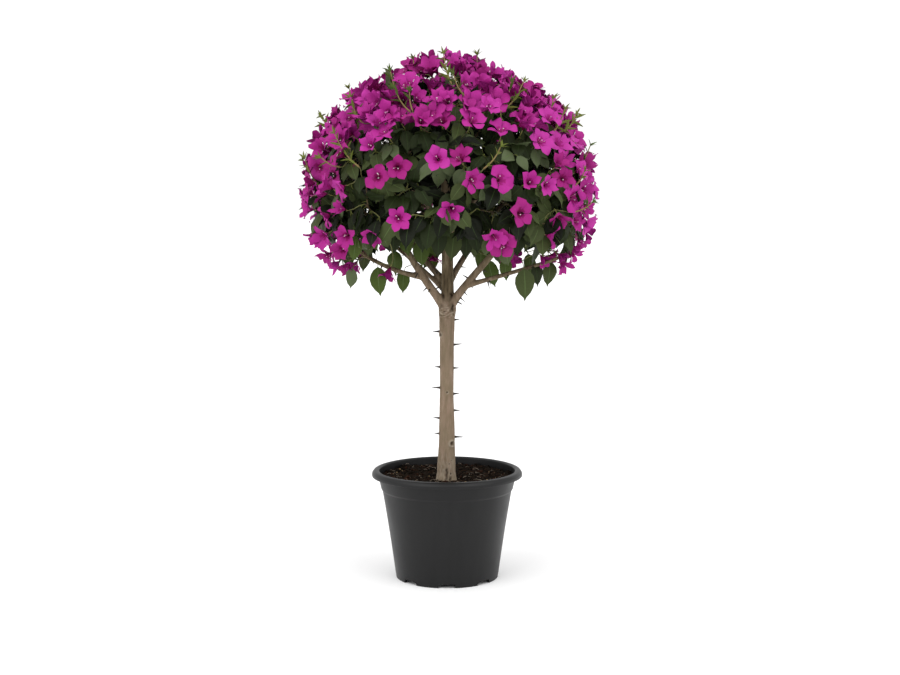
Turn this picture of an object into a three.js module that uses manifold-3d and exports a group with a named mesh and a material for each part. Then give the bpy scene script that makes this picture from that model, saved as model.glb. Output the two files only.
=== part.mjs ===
// A bougainvillea grown as a standard: one bare, thorny trunk that carries a round head of leaves and
// bracts, in a moulded nursery pot of compost.
// Millimetres, +Z up. The origin is the middle of the pot's underside, and the front is towards -Y.
// Headings are compass angles in degrees, counter-clockwise from +X as seen from above.

import * as THREE from "three";
import { mergeVertices } from "three/addons/utils/BufferGeometryUtils.js";
import Module from "manifold-3d";

const wasm = await Module();
wasm.setup();

// Every piece keeps this much air to its neighbours.
const GAP = 0.3;

// Pot
const POT_SEGMENTS = 36;
const POT_WALL = 2.4;
const FOOT_OUTER_R = 96.6;
const WALL_FLARE = 0.131;
const WALL_CURVE = 0.00013;
const FOOT_INNER_R = 92.8;
const FLOOR_UNDERSIDE_Z = 8;
const FLOOR_TOP_Z = 10.6;
const LEDGE_Z = 165.5;
const BAND_FOOT_Z = 169;
const BAND_FOOT_R = 124.1;
const BAND_HEAD_Z = 190;
const BAND_HEAD_R = 129.1;

// The lip, as [radius, height]: it slopes down and out from its top to its shoulder and its nose, from
// which a short skirt hangs. The second list is its underside, from the band out to the skirt.
const LIP_TOP = [
  [141.6, 193],
  [141.6, 198.5],
  [137.5, 203.8],
  [131.5, 205],
  [127.8, 202.8],
];
const LIP_UNDERSIDE = [
  [130.3, 201.8],
  [136.2, 200.9],
  [139, 197.4],
  [139, 193],
];

// Notches in the foot, and drain holes
const NOTCH_COUNT = 8;
const NOTCH_WIDTH = 33;
const NOTCH_DEPTH = 16;
const NOTCH_HEIGHT = 7.2;
const DRAIN_COUNT = 4;
const DRAIN_R = 7;
const DRAIN_SIDES = 10;
const DRAIN_RING_R = 62;

// Compost: it slopes down from the pot's wall to a flat land under the trunk
const SOIL_SLOPE_R = 76;
const SOIL_SLOPE_Z = 188;
const SOIL_LAND_Z = 183;
const SOIL_LAND_R = 24;

// Trunk and the leader that carries on above the fork: height, radius and sideways lean of each station
const TRUNK_STATIONS = [
  { z: SOIL_LAND_Z + GAP, radius: 20, lean: -1.6 },
  { z: 200, radius: 17.4, lean: -1.2 },
  { z: 268, radius: 15, lean: 0.4 },
  { z: 355, radius: 13, lean: -0.4 },
  { z: 440, radius: 13.4, lean: -1 },
  { z: 485, radius: 14.6, lean: -0.8 },
  { z: 508, radius: 16.6, lean: 0 },
  { z: 532, radius: 12, lean: 0.8 },
  { z: 590, radius: 10.8, lean: 1 },
  { z: 700, radius: 8.6, lean: -2 },
  { z: 850, radius: 5.5, lean: -6 },
];
const TRUNK_SIDES = 12;
const TRUNK_STEPS = 20;
const TRUNK_LOBES = 3;
const TRUNK_LOBE_DEPTH = 0.05;

// Boughs. Each leaves the middle of its parent at the height "at", and its heading and rise turn
// evenly from the first value to the second along its length.
const BOUGH_SIDES = 7;
const BOUGH_STEPS = 6;
const BOUGHS = [
  {
    name: "bough_front_left", from: "trunk", at: 505,
    heading: [206, 204], rise: [49, 69], length: 290, radius: [8.6, 3],
  },
  {
    name: "bough_left_low", from: "bough_front_left", at: 568,
    heading: [202, 192], rise: [9, 46], length: 190, radius: [4.8, 3],
  },
  {
    name: "bough_back_left_low", from: "trunk", at: 538,
    heading: [158, 152], rise: [42, 32], length: 190, radius: [4.6, 3.4],
  },
  {
    name: "bough_back_left_high", from: "trunk", at: 552,
    heading: [142, 134], rise: [38, 50], length: 250, radius: [6.2, 4.2],
  },
  {
    name: "bough_front_right", from: "trunk", at: 508,
    heading: [334, 338], rise: [51, 42], length: 265, radius: [8.4, 3.4],
  },
  {
    name: "bough_right_low", from: "bough_front_right", at: 553,
    heading: [332, 338], rise: [15, 18], length: 190, radius: [4.8, 3.2],
  },
  {
    name: "bough_back_right", from: "trunk", at: 554,
    heading: [46, 40], rise: [50, 40], length: 250, radius: [6, 4.2],
  },
  {
    name: "bough_inner_left", from: "trunk", at: 656,
    heading: [176, 168], rise: [52, 42], length: 190, radius: [4.8, 3.6],
  },
  {
    name: "bough_inner_right", from: "trunk", at: 660,
    heading: [8, 2], rise: [46, 36], length: 210, radius: [4.6, 3.5],
  },
  {
    name: "bough_back", from: "trunk", at: 586,
    heading: [96, 90], rise: [46, 40], length: 220, radius: [5.4, 3.8],
  },
  {
    name: "bough_front", from: "trunk", at: 612,
    heading: [284, 276], rise: [42, 34], length: 220, radius: [4.4, 3.3],
  },
];

// Crown. Its outline is a dome above the widest level and a shallower bowl below it. The dome's power
// under 2 draws its shoulders in, towards a blunt tip.
const CROWN_OFFSET_X = 4;
const CROWN_LEVEL_Z = 702;
const CROWN_RADIUS = 288;
const CROWN_RISE = 287;
const CROWN_DROP = 174;
const DOME_POWER = 1.8;
const BOWL_POWER = 2;
const OUTLINE_UNEVENNESS = 0.015;

// Masses of leaves and bracts, set in rings inside that outline. The half sizes are measured outwards
// from the trunk, across, and up.
const CROWN_SEED = 17;
const MASS_DETAIL = 2;
const MASS_LUMPS = 5;
const LUMP_DEPTH = 0.05;
const MASS_VARIATION = 0.07;
const MASS_RINGS = [
  { name: "mass_top", slot: "bracts", count: 1, heading: 180, z: 896, inset: 0, half: [108, 104, 96] },
  { name: "mass_upper", slot: "bracts", count: 6, heading: 290, z: 838, inset: 82, half: [96, 102, 92] },
  { name: "mass_middle", slot: "leaves", count: 9, heading: 270, z: 744, inset: 76, half: [84, 94, 86] },
  { name: "mass_lower", slot: "leaves", count: 8, heading: 270, z: 622, inset: 62, half: [74, 88, 76] },
];

// The lowest ring opens at the front, where the boughs show: its masses there are lifted, its foremost
// one is smaller by this share, and its neighbours are turned away by up to this many degrees.
const OPEN_RING = "mass_lower";
const OPEN_LIFT = 42;
const OPEN_SHARE = 0.26;
const OPEN_TURN = 13;

const COLOURS = {
  pot: new THREE.MeshStandardMaterial({ color: 0x2b2b2c, roughness: 0.55, metalness: 0 }),
  soil: new THREE.MeshStandardMaterial({ color: 0x2c1f18, roughness: 1, metalness: 0 }),
  bark: new THREE.MeshStandardMaterial({ color: 0x8a7663, roughness: 0.85, metalness: 0 }),
  bracts: new THREE.MeshStandardMaterial({ color: 0xa6297f, roughness: 0.6, metalness: 0 }),
  leaves: new THREE.MeshStandardMaterial({ color: 0x2d3f24, roughness: 0.55, metalness: 0 }),
};

// A repeatable stream of numbers from 0 to 1.
function seededRandom(seed) {
  let state = seed;
  return () => {
    state = (state + 0x6d2b79f5) | 0;
    let mixed = Math.imul(state ^ (state >>> 15), 1 | state);
    mixed = (mixed + Math.imul(mixed ^ (mixed >>> 7), 61 | mixed)) ^ mixed;
    return ((mixed ^ (mixed >>> 14)) >>> 0) / 4294967296;
  };
}

function headingVector(degrees) {
  const angle = THREE.MathUtils.degToRad(degrees);
  return new THREE.Vector3(Math.cos(angle), Math.sin(angle), 0);
}

// The solid that a closed geometry bounds.
function solidOf(geometry) {
  const bare = geometry.clone();
  bare.deleteAttribute("normal");
  bare.deleteAttribute("uv");
  const merged = mergeVertices(bare, 1e-3);
  const mesh = new wasm.Mesh({
    numProp: 3,
    vertProperties: new Float32Array(merged.attributes.position.array),
    triVerts: new Uint32Array(merged.index.array),
  });
  return new wasm.Manifold(mesh);
}

function geometryOf(solid) {
  const mesh = solid.getMesh();
  const geometry = new THREE.BufferGeometry();
  geometry.setAttribute("position", new THREE.BufferAttribute(new Float32Array(mesh.vertProperties), 3));
  geometry.setIndex(new THREE.BufferAttribute(new Uint32Array(mesh.triVerts), 1));
  geometry.computeVertexNormals();
  return geometry;
}

// The one body of a cut solid that is largest.
function largestBody(solid) {
  const bodies = solid.decompose();
  return bodies.reduce((best, body) => (body.volume() > best.volume() ? body : best));
}

// A turned solid about +Z from a profile of [radius, height] points.
function turnedGeometry(profile) {
  const points = profile.map(([radius, height]) => new THREE.Vector2(radius, height));
  return new THREE.LatheGeometry(points, POT_SEGMENTS).rotateX(Math.PI / 2);
}

// Outer radius of the pot's wall below the ledge: it flares a little more towards the top.
function potWallRadius(z) {
  return FOOT_OUTER_R + WALL_FLARE * z + WALL_CURVE * z * z;
}

// The inside of the pot from floor to band, as [radius, height] points, drawn in by "inset".
function potInside(inset) {
  const wallHeights = [FLOOR_TOP_Z, LEDGE_Z / 2, LEDGE_Z];
  const wall = wallHeights.map((z) => [potWallRadius(z) - POT_WALL - inset, z]);
  return [
    ...wall,
    [BAND_FOOT_R - POT_WALL - inset, BAND_FOOT_Z],
    [BAND_HEAD_R - POT_WALL - inset, BAND_HEAD_Z],
  ];
}

function potSolid() {
  const inside = potInside(0).reverse();
  const profile = [
    [0, FLOOR_UNDERSIDE_Z],
    [FOOT_INNER_R, FLOOR_UNDERSIDE_Z],
    [FOOT_INNER_R, 0],
    ...[0, LEDGE_Z / 2, LEDGE_Z].map((z) => [potWallRadius(z), z]),
    [BAND_FOOT_R, BAND_FOOT_Z],
    [BAND_HEAD_R, BAND_HEAD_Z],
    ...LIP_UNDERSIDE,
    ...LIP_TOP,
    ...inside,
    [0, FLOOR_TOP_Z],
  ];
  let pot = solidOf(turnedGeometry(profile));
  for (let index = 0; index < NOTCH_COUNT; index++) {
    const heading = (index * 360) / NOTCH_COUNT;
    const notch = new THREE.BoxGeometry(NOTCH_DEPTH, NOTCH_WIDTH, 2 * NOTCH_HEIGHT);
    notch.translate(FOOT_INNER_R, 0, 0);
    notch.rotateZ(THREE.MathUtils.degToRad(heading));
    pot = pot.subtract(solidOf(notch));
  }
  for (let index = 0; index < DRAIN_COUNT; index++) {
    const place = headingVector(((index + 0.5) * 360) / DRAIN_COUNT).multiplyScalar(DRAIN_RING_R);
    const hole = new THREE.CylinderGeometry(DRAIN_R, DRAIN_R, 4 * FLOOR_TOP_Z, DRAIN_SIDES);
    hole.rotateX(Math.PI / 2);
    hole.translate(place.x, place.y, 0);
    pot = pot.subtract(solidOf(hole));
  }
  return pot;
}

// The compost fills the pot to the top of the band, and dips towards the land that the trunk stands on.
function soilSolid() {
  const profile = [
    [0, FLOOR_TOP_Z + GAP],
    ...potInside(GAP).map(([radius, z]) => [radius, Math.max(z, FLOOR_TOP_Z + GAP)]),
    [SOIL_SLOPE_R, SOIL_SLOPE_Z],
    [SOIL_LAND_R, SOIL_LAND_Z],
    [0, SOIL_LAND_Z],
  ];
  return solidOf(turnedGeometry(profile));
}

// A limb along a curve: a capped cylinder bent so that its middle follows the curve.
// radiusAt(along, angle) gives its radius at a fraction of its length and an angle about its middle.
function limbSolid(curve, radiusAt, sides, steps) {
  const geometry = new THREE.CylinderGeometry(1, 1, 1, sides, steps);
  const frames = curve.computeFrenetFrames(steps, false);
  const position = geometry.attributes.position;
  for (let index = 0; index < position.count; index++) {
    const step = Math.round((position.getY(index) + 0.5) * steps);
    const along = step / steps;
    const sideways = new THREE.Vector2(position.getX(index), position.getZ(index));
    const radius = sideways.length() > 0.5 ? radiusAt(along, sideways.angle()) : 0;
    const point = curve
      .getPointAt(along)
      .addScaledVector(frames.binormals[step], Math.cos(sideways.angle()) * radius)
      .addScaledVector(frames.normals[step], Math.sin(sideways.angle()) * radius);
    position.setXYZ(index, point.x, point.y, point.z);
  }
  return solidOf(geometry);
}

// The trunk's rings lie level, so its foot is a flat, level cut. "extra" thickens it all round.
function trunkSolid(extra) {
  const foot = TRUNK_STATIONS[0];
  const head = TRUNK_STATIONS[TRUNK_STATIONS.length - 1];
  const geometry = new THREE.CylinderGeometry(1, 1, 1, TRUNK_SIDES, TRUNK_STEPS).rotateX(Math.PI / 2);
  const position = geometry.attributes.position;
  for (let index = 0; index < position.count; index++) {
    const z = THREE.MathUtils.lerp(foot.z, head.z, position.getZ(index) + 0.5);
    const { radius, lean } = trunkAt(z);
    const angle = Math.atan2(position.getY(index), position.getX(index));
    const lobed = 1 + TRUNK_LOBE_DEPTH * Math.sin(TRUNK_LOBES * angle + z / 60);
    const isRim = Math.hypot(position.getX(index), position.getY(index)) > 0.5;
    const reach = isRim ? radius * lobed + extra : 0;
    position.setXYZ(index, lean + reach * Math.cos(angle), reach * Math.sin(angle), z);
  }
  return solidOf(geometry);
}

// Radius and lean of the trunk at a height, eased between its stations.
function trunkAt(z) {
  const last = TRUNK_STATIONS.length - 2;
  const upper = TRUNK_STATIONS.findIndex((station) => station.z > z);
  const index = upper < 0 ? last : Math.min(Math.max(upper - 1, 0), last);
  const below = TRUNK_STATIONS[index];
  const above = TRUNK_STATIONS[index + 1];
  const along = THREE.MathUtils.smoothstep(z, below.z, above.z);
  return {
    radius: THREE.MathUtils.lerp(below.radius, above.radius, along),
    lean: THREE.MathUtils.lerp(below.lean, above.lean, along),
  };
}

// Points of a bough's middle line, from its start on the parent.
function boughCurve(start, bough) {
  const points = [start];
  for (let step = 0; step < BOUGH_STEPS; step++) {
    const along = (step + 0.5) / BOUGH_STEPS;
    const rise = THREE.MathUtils.degToRad(THREE.MathUtils.lerp(...bough.rise, along));
    const heading = THREE.MathUtils.lerp(...bough.heading, along);
    const direction = headingVector(heading).multiplyScalar(Math.cos(rise)).setZ(Math.sin(rise));
    points.push(points[step].clone().addScaledVector(direction, bough.length / BOUGH_STEPS));
  }
  return new THREE.CatmullRomCurve3(points);
}

// The point of a bough's middle line at a height.
function pointAtHeight(curve, z) {
  const samples = curve.getSpacedPoints(100);
  return samples.reduce((best, point) => (Math.abs(point.z - z) < Math.abs(best.z - z) ? point : best));
}

function boughSolid(curve, bough, extra) {
  const radiusAt = (along) => THREE.MathUtils.lerp(...bough.radius, along) + extra;
  return limbSolid(curve, radiusAt, BOUGH_SIDES, BOUGH_STEPS);
}

// Radius of the crown's outline at a height.
function crownRadius(z) {
  const isDome = z > CROWN_LEVEL_Z;
  const power = isDome ? DOME_POWER : BOWL_POWER;
  const level = Math.abs(z - CROWN_LEVEL_Z) / (isDome ? CROWN_RISE : CROWN_DROP);
  return CROWN_RADIUS * Math.max(1 - level ** power, 0) ** (1 / power);
}

// Where a point lies: under 1 inside the crown's outline, 1 on it and over 1 outside.
function outlineMeasure(point) {
  const isDome = point.z > CROWN_LEVEL_Z;
  const power = isDome ? DOME_POWER : BOWL_POWER;
  const level = Math.abs(point.z - CROWN_LEVEL_Z) / (isDome ? CROWN_RISE : CROWN_DROP);
  const out = Math.hypot(point.x - CROWN_OFFSET_X, point.y) / CROWN_RADIUS;
  return (level ** power + out ** power) ** (1 / power);
}

// One mass of a ring: its centre, heading, half sizes, and the lumps that make it uneven.
function crownMass(ring, index, random) {
  const isOpen = ring.name === OPEN_RING;
  const evenTurn = (index * 360) / ring.count;
  const turn = evenTurn + (isOpen ? OPEN_TURN * Math.sin(THREE.MathUtils.degToRad(evenTurn)) : 0);
  const heading = ring.heading + turn;
  const frontness = isOpen ? Math.max(0, -headingVector(heading).y) : 0;
  const z = ring.z + OPEN_LIFT * frontness;
  const distance = ring.inset ? crownRadius(z) - ring.inset : 0;
  const centre = headingVector(heading).multiplyScalar(distance);
  centre.add(new THREE.Vector3(CROWN_OFFSET_X, 0, z));
  const share = 1 - OPEN_SHARE * frontness ** 4;
  const half = ring.half.map((size) => size * share * (1 + MASS_VARIATION * (2 * random() - 1)));
  const lumps = [];
  for (let lump = 0; lump < MASS_LUMPS; lump++) {
    const axis = new THREE.Vector3(random() - 0.5, random() - 0.5, random() - 0.5).normalize();
    lumps.push({ axis, waves: 2.5 + 2.5 * random(), phase: 2 * Math.PI * random() });
  }
  const name = ring.count > 1 ? `${ring.name}_${index + 1}` : ring.name;
  return { name, slot: ring.slot, heading, centre, half, lumps };
}

// How far a mass reaches from its centre in a direction, with no lumps.
function massReach(mass, direction) {
  const up = new THREE.Vector3(0, 0, 1);
  const turned = direction.clone().applyAxisAngle(up, -THREE.MathUtils.degToRad(mass.heading));
  const [halfOut, halfAcross, halfUp] = mass.half;
  return 1 / Math.hypot(turned.x / halfOut, turned.y / halfAcross, turned.z / halfUp);
}

// A lumpy ball with the mass's half sizes. What would stand out of the crown is drawn back to its
// outline, which is itself a little uneven.
function massSolid(mass) {
  const crownMiddle = new THREE.Vector3(CROWN_OFFSET_X, 0, CROWN_LEVEL_Z);
  const geometry = new THREE.IcosahedronGeometry(1, MASS_DETAIL);
  const position = geometry.attributes.position;
  for (let index = 0; index < position.count; index++) {
    const direction = new THREE.Vector3().fromBufferAttribute(position, index).normalize();
    const wave = (lump) => Math.sin(lump.waves * direction.dot(lump.axis) + lump.phase);
    const lumpiness = mass.lumps.reduce((sum, lump) => sum + wave(lump), 0);
    const reach = massReach(mass, direction) * (1 + LUMP_DEPTH * lumpiness);
    const point = direction.multiplyScalar(reach).add(mass.centre);
    const limit = 1 + OUTLINE_UNEVENNESS * lumpiness;
    const excess = Math.max(outlineMeasure(point) / limit, 1);
    point.sub(crownMiddle).divideScalar(excess).add(crownMiddle);
    position.setXYZ(index, point.x, point.y, point.z);
  }
  return solidOf(geometry);
}

// Two masses that meet are parted by a plane between their centres, half a gap from each.
function partMasses(masses) {
  for (const [index, mass] of masses.entries()) {
    for (const other of masses.slice(index + 1)) {
      const towards = other.centre.clone().sub(mass.centre);
      const distance = towards.length();
      if (distance > 2 * Math.max(...mass.half, ...other.half)) continue;
      if (mass.solid.minGap(other.solid, GAP) >= GAP) continue;
      towards.normalize();
      const reach = massReach(mass, towards);
      const otherReach = massReach(other, towards);
      const share = (distance * reach) / (reach + otherReach);
      const level = mass.centre.dot(towards) + share;
      const normal = towards.toArray();
      const opposite = towards.clone().negate().toArray();
      mass.solid = largestBody(mass.solid.trimByPlane(opposite, GAP / 2 - level));
      other.solid = largestBody(other.solid.trimByPlane(normal, level + GAP / 2));
    }
  }
}

// The mass grown by the gap, which cuts away whatever enters it.
function grownMass(mass) {
  const scale = mass.half.map((size) => 1 + GAP / (size * 0.7));
  const back = mass.centre.clone().negate().toArray();
  return mass.solid.translate(back).scale(Math.max(...scale)).translate(mass.centre.toArray());
}

function namedMesh(name, solid, material) {
  const mesh = new THREE.Mesh(geometryOf(solid), material);
  mesh.name = name;
  return mesh;
}

function build() {
  const plant = new THREE.Group();
  plant.add(namedMesh("pot", potSolid(), COLOURS.pot));
  plant.add(namedMesh("soil", soilSolid(), COLOURS.soil));

  const random = seededRandom(CROWN_SEED);
  const masses = MASS_RINGS.flatMap((ring) =>
    Array.from({ length: ring.count }, (_, index) => crownMass(ring, index, random)),
  );
  for (const mass of masses) mass.solid = massSolid(mass);
  partMasses(masses);
  const foliage = wasm.Manifold.union(masses.map(grownMass));

  plant.add(namedMesh("trunk", largestBody(trunkSolid(0).subtract(foliage)), COLOURS.bark));

  const limbs = new Map();
  limbs.set("trunk", { grown: trunkSolid(GAP) });
  for (const bough of BOUGHS) {
    const parent = limbs.get(bough.from);
    const start = parent.curve
      ? pointAtHeight(parent.curve, bough.at)
      : new THREE.Vector3(trunkAt(bough.at).lean, 0, bough.at);
    const curve = boughCurve(start, bough);
    const solid = boughSolid(curve, bough, 0).subtract(foliage).subtract(parent.grown);
    plant.add(namedMesh(bough.name, largestBody(solid), COLOURS.bark));
    limbs.set(bough.name, { curve, grown: boughSolid(curve, bough, GAP) });
  }

  for (const mass of masses) plant.add(namedMesh(mass.name, mass.solid, COLOURS[mass.slot]));
  return plant;
}

export default build();
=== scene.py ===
"""The looks of a potted bougainvillea that is grown as a standard.

Metres, +Z up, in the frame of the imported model. The front is towards -Y, and headings are compass
angles in degrees, counter-clockwise from +X as seen from above. The trunk and boughs follow the middle
lines of the CAD limbs. From them twigs grow by a seeded rule towards places on the CAD masses, and
each twig ends in a spray of leaves, blooms or a young shoot."""

import math

import bmesh
import bpy
import numpy as np
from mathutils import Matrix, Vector, noise

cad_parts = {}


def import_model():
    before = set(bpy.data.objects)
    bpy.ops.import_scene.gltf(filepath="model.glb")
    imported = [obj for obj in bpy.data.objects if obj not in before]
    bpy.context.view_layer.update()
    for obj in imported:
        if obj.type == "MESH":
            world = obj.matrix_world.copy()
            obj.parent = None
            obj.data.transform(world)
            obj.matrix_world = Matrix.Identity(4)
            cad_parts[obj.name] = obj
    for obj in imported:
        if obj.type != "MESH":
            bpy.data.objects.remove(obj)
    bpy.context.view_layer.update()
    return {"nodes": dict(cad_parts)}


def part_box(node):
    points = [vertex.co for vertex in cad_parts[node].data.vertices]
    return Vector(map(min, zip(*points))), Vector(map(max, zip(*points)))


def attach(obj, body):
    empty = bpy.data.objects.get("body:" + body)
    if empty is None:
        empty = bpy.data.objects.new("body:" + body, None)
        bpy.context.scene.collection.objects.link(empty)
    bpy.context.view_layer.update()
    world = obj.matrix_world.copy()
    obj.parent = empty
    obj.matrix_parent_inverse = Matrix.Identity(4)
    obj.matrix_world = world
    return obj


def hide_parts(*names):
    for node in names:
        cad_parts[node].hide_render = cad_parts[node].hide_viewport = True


SEED = 23
CROWN_SEED = 43
UP = np.array([0.0, 0.0, 1.0])
FRONT = 270.0
GOLDEN_TURN = math.radians(137.5)

# Camera and stage
CAMERA_PLACE = (0.0055, -2.8, 0.735)
CAMERA_PITCH = 5.74
CAMERA_LENS = 60.2
FLOOR_SIZE = 60.0
FLOOR_TONE = (0.92, 0.92, 0.92, 1)
# How bright the white world is as the camera sees it, and as it lights the plant
BACKDROP_STRENGTH = 1.05
SKY_STRENGTH = 0.98
# Heading and rise of each lamp, the angle that it fills and its strength
LAMPS = {
    "top": (250, 80, 90, 0.74),
    "left": (225, 38, 50, 0.86),
    "right": (320, 40, 50, 0.74),
}
# The lamps are strong enough to wash the floor out to white, so every colour is taken down to match
COLOUR_SHARE = 0.86

# Pot, as in the CAD model
POT_SEGMENTS = 144
POT_WALL = 0.0024
POT_HUB_R = 0.0005
FOOT_OUTER_R = 0.0966
WALL_FLARE = 0.131
WALL_CURVE = 0.13
FOOT_INNER_R = 0.0928
FLOOR_UNDERSIDE_Z = 0.008
FLOOR_TOP_Z = 0.0106
LEDGE_Z = 0.1655
BAND_FOOT = (0.1241, 0.169)
BAND_HEAD = (0.1291, 0.190)
# Corners of the lip as (radius, height, rounding): its underside out to the skirt, then its top
LIP_UNDERSIDE = [
    (0.1303, 0.2018, 0.0014), (0.1362, 0.2009, 0.0025), (0.1390, 0.1974, 0.0025), (0.1390, 0.1930, 0.0008),
]
LIP_TOP = [
    (0.1416, 0.1930, 0.0010), (0.1416, 0.1985, 0.0060), (0.1375, 0.2038, 0.0050), (0.1315, 0.2050, 0.0032),
    (0.1278, 0.2028, 0.0024),
]
NOTCH_COUNT = 8
NOTCH_WIDTH = 0.033
NOTCH_DEPTH = 0.016
NOTCH_HEIGHT = 0.0072
NOTCH_SLANT = 0.0025
DRAIN_COUNT = 4
DRAIN_R = 0.007
DRAIN_RING_R = 0.062

# Compost: radius and height of its slope, and what lies on it
SOIL_SLOPE = [(0.0, 0.183), (0.024, 0.183), (0.076, 0.188), (0.1264, 0.190)]
SOIL_RINGS = 56
SOIL_SPOKES = 150
SOIL_ROUGHNESS = 0.0095
SOIL_GAP = 0.0003
CRUMB_COUNT = 2600
CRUMB_REACH = 0.1235
FIBRE_COUNT = 420
FIBRE_REACH = 0.118
# Names and darkest and lightest tones of what lies there
SOIL_DARK, SOIL_LIGHT = (12, 9, 6), (40, 32, 23)
CRUMB_LOOKS = [
    ("crumb_dark", SOIL_DARK, (34, 26, 20)),
    ("crumb_brown", (32, 18, 12), (64, 40, 28)),
    ("crumb_light", (92, 76, 54), (140, 120, 94)),
]
FIBRE_LOOKS = [("fibre_brown", (40, 28, 20), (78, 58, 44)), ("fibre_pale", (108, 96, 84), (160, 148, 134))]

# Trunk and leader: height, radius and sideways lean of each station, as in the CAD model
TRUNK_STATIONS = [
    (0.1833, 0.0200, -0.0016), (0.200, 0.0174, -0.0012), (0.268, 0.0150, 0.0004), (0.355, 0.0130, -0.0004),
    (0.440, 0.0134, -0.0010), (0.485, 0.0146, -0.0008), (0.508, 0.0166, 0.0), (0.532, 0.0120, 0.0008),
    (0.590, 0.0108, 0.0010), (0.700, 0.0086, -0.0020), (0.850, 0.0055, -0.0060),
]

# Boughs, as in the CAD model: parent, height of the start, heading and rise from the start to the end,
# length, and radius from the start to the end
BOUGH_STEPS = 6
BOUGHS = {
    "bough_front_left": ("trunk", 0.505, (206, 204), (49, 69), 0.290, (0.0086, 0.0030)),
    "bough_left_low": ("bough_front_left", 0.568, (202, 192), (9, 46), 0.190, (0.0048, 0.0030)),
    "bough_back_left_low": ("trunk", 0.538, (158, 152), (42, 32), 0.190, (0.0046, 0.0034)),
    "bough_back_left_high": ("trunk", 0.552, (142, 134), (38, 50), 0.250, (0.0062, 0.0042)),
    "bough_front_right": ("trunk", 0.508, (334, 338), (51, 42), 0.265, (0.0084, 0.0034)),
    "bough_right_low": ("bough_front_right", 0.553, (332, 338), (15, 18), 0.190, (0.0048, 0.0032)),
    "bough_back_right": ("trunk", 0.554, (46, 40), (50, 40), 0.250, (0.0060, 0.0042)),
    "bough_inner_left": ("trunk", 0.656, (176, 168), (52, 42), 0.190, (0.0048, 0.0036)),
    "bough_inner_right": ("trunk", 0.660, (8, 2), (46, 36), 0.210, (0.0046, 0.0035)),
    "bough_back": ("trunk", 0.586, (96, 90), (46, 40), 0.220, (0.0054, 0.0038)),
    "bough_front": ("trunk", 0.612, (284, 276), (42, 34), 0.220, (0.0044, 0.0033)),
}
LIMB_SIDES = 20
LIMB_STEP = 0.005
BARK_VOXEL = 0.0014
COLLAR_SWELL = 0.35
COLLAR_LENGTH = 0.022

# Marks on the bark: heading, height, width across, and depth
KNOTS = [
    (-54, 0.255, 0.0058, 0.0020), (216, 0.460, 0.0048, 0.0022),
    (-88, 0.352, 0.0028, 0.0006), (120, 0.330, 0.0048, 0.0014),
    (40, 0.410, 0.0040, 0.0012), (-72, 0.217, 0.0020, 0.0008),
    (-93, 0.220, 0.0016, 0.0006), (-58, 0.223, 0.0015, 0.0006),
    (-104, 0.206, 0.0015, 0.0006), (-120, 0.213, 0.0014, 0.0005),
    (-62, 0.198, 0.0026, 0.0010),
]
# The wrinkled collar under the fork, with painted light on its wrinkles' crests and painted shade in their
# hollows: its height and half its depth
FORK_COLLAR = (0.503, 0.010)
# Splits in the bark: heading, lowest and highest place, width across, and depth. Each is darkened along its
# groove; the two at the fork lie in its crotches, where the dark is painted shade.
SPLITS = [
    (-88, 0.185, 0.207, 0.0020, 0.0030), (-66, 0.183, 0.192, 0.0022, 0.0020),
    (-132, 0.513, 0.536, 0.0026, 0.0014), (-50, 0.504, 0.538, 0.0028, 0.0016),
]

# Thorns on the trunk: heading, height and length. The rest of them are scattered by rule.
TRUNK_THORNS = [
    (183, 0.465, 0.0125), (176, 0.398, 0.0100), (182, 0.359, 0.0155), (178, 0.301, 0.0125),
    (184, 0.272, 0.0100), (-2, 0.487, 0.0100), (-4, 0.440, 0.0160), (3, 0.396, 0.0105),
    (-3, 0.3475, 0.0110), (2, 0.316, 0.0110), (-6, 0.266, 0.0160),
]
TRUNK_THORN_SHARE = 1.12
TRUNK_THORN_WIDTH = 0.0029
BACK_THORN_COUNT = 9
BOUGH_THORN_SPACING = 0.038
BOUGH_THORN_WIDTH = 0.0018
SHOWN_THORN_WIDTH = 0.0021
# Thorns that show on the boughs' undersides: bough, share of its length, heading and rise, and length
BOUGH_THORNS = [
    ("bough_front_left", 0.20, 200, -40, 0.012), ("bough_front_left", 0.31, 236, -46, 0.017),
    ("bough_front_right", 0.13, 330, -38, 0.014), ("bough_front_right", 0.19, 322, -42, 0.011),
    ("bough_front_right", 0.07, 345, -12, 0.010), ("bough_front_right", 0.27, 190, 32, 0.014),
    ("bough_right_low", 0.25, 300, -66, 0.015), ("bough_left_low", 0.42, 240, -60, 0.011),
]

# Crown outline, as in the CAD model
CROWN_MIDDLE = np.array([0.004, 0.0, 0.702])
CROWN_RADIUS = 0.288
CROWN_RISE = 0.287
CROWN_DROP = 0.174
DOME_POWER = 1.8
BOWL_POWER = 2.0

# How the plant's parts take the light: roughness from and to, fineness of the grain, and specular level
BLADE = ((0.45, 0.62), 420, 0.12)
RIB = ((0.5, 0.6), 600, 0.12)
STALK = ((0.5, 0.65), 600, 0.12)
YOUNG_BLADE = ((0.45, 0.6), 500, 0.12)
YOUNG_STEM = ((0.5, 0.65), 500, 0.12)
PETAL = ((0.55, 0.75), 380, 0.15)
THROAT = ((0.6, 0.8), 380, 0.15)
FLOWER_PART = ((0.5, 0.7), 500, 0.5)
THORN = ((0.45, 0.6), 700, 0.5)
BROWN_TWIG = ((0.65, 0.85), 500, 0.3)
GREEN_TWIG = ((0.55, 0.75), 500, 0.3)
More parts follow.
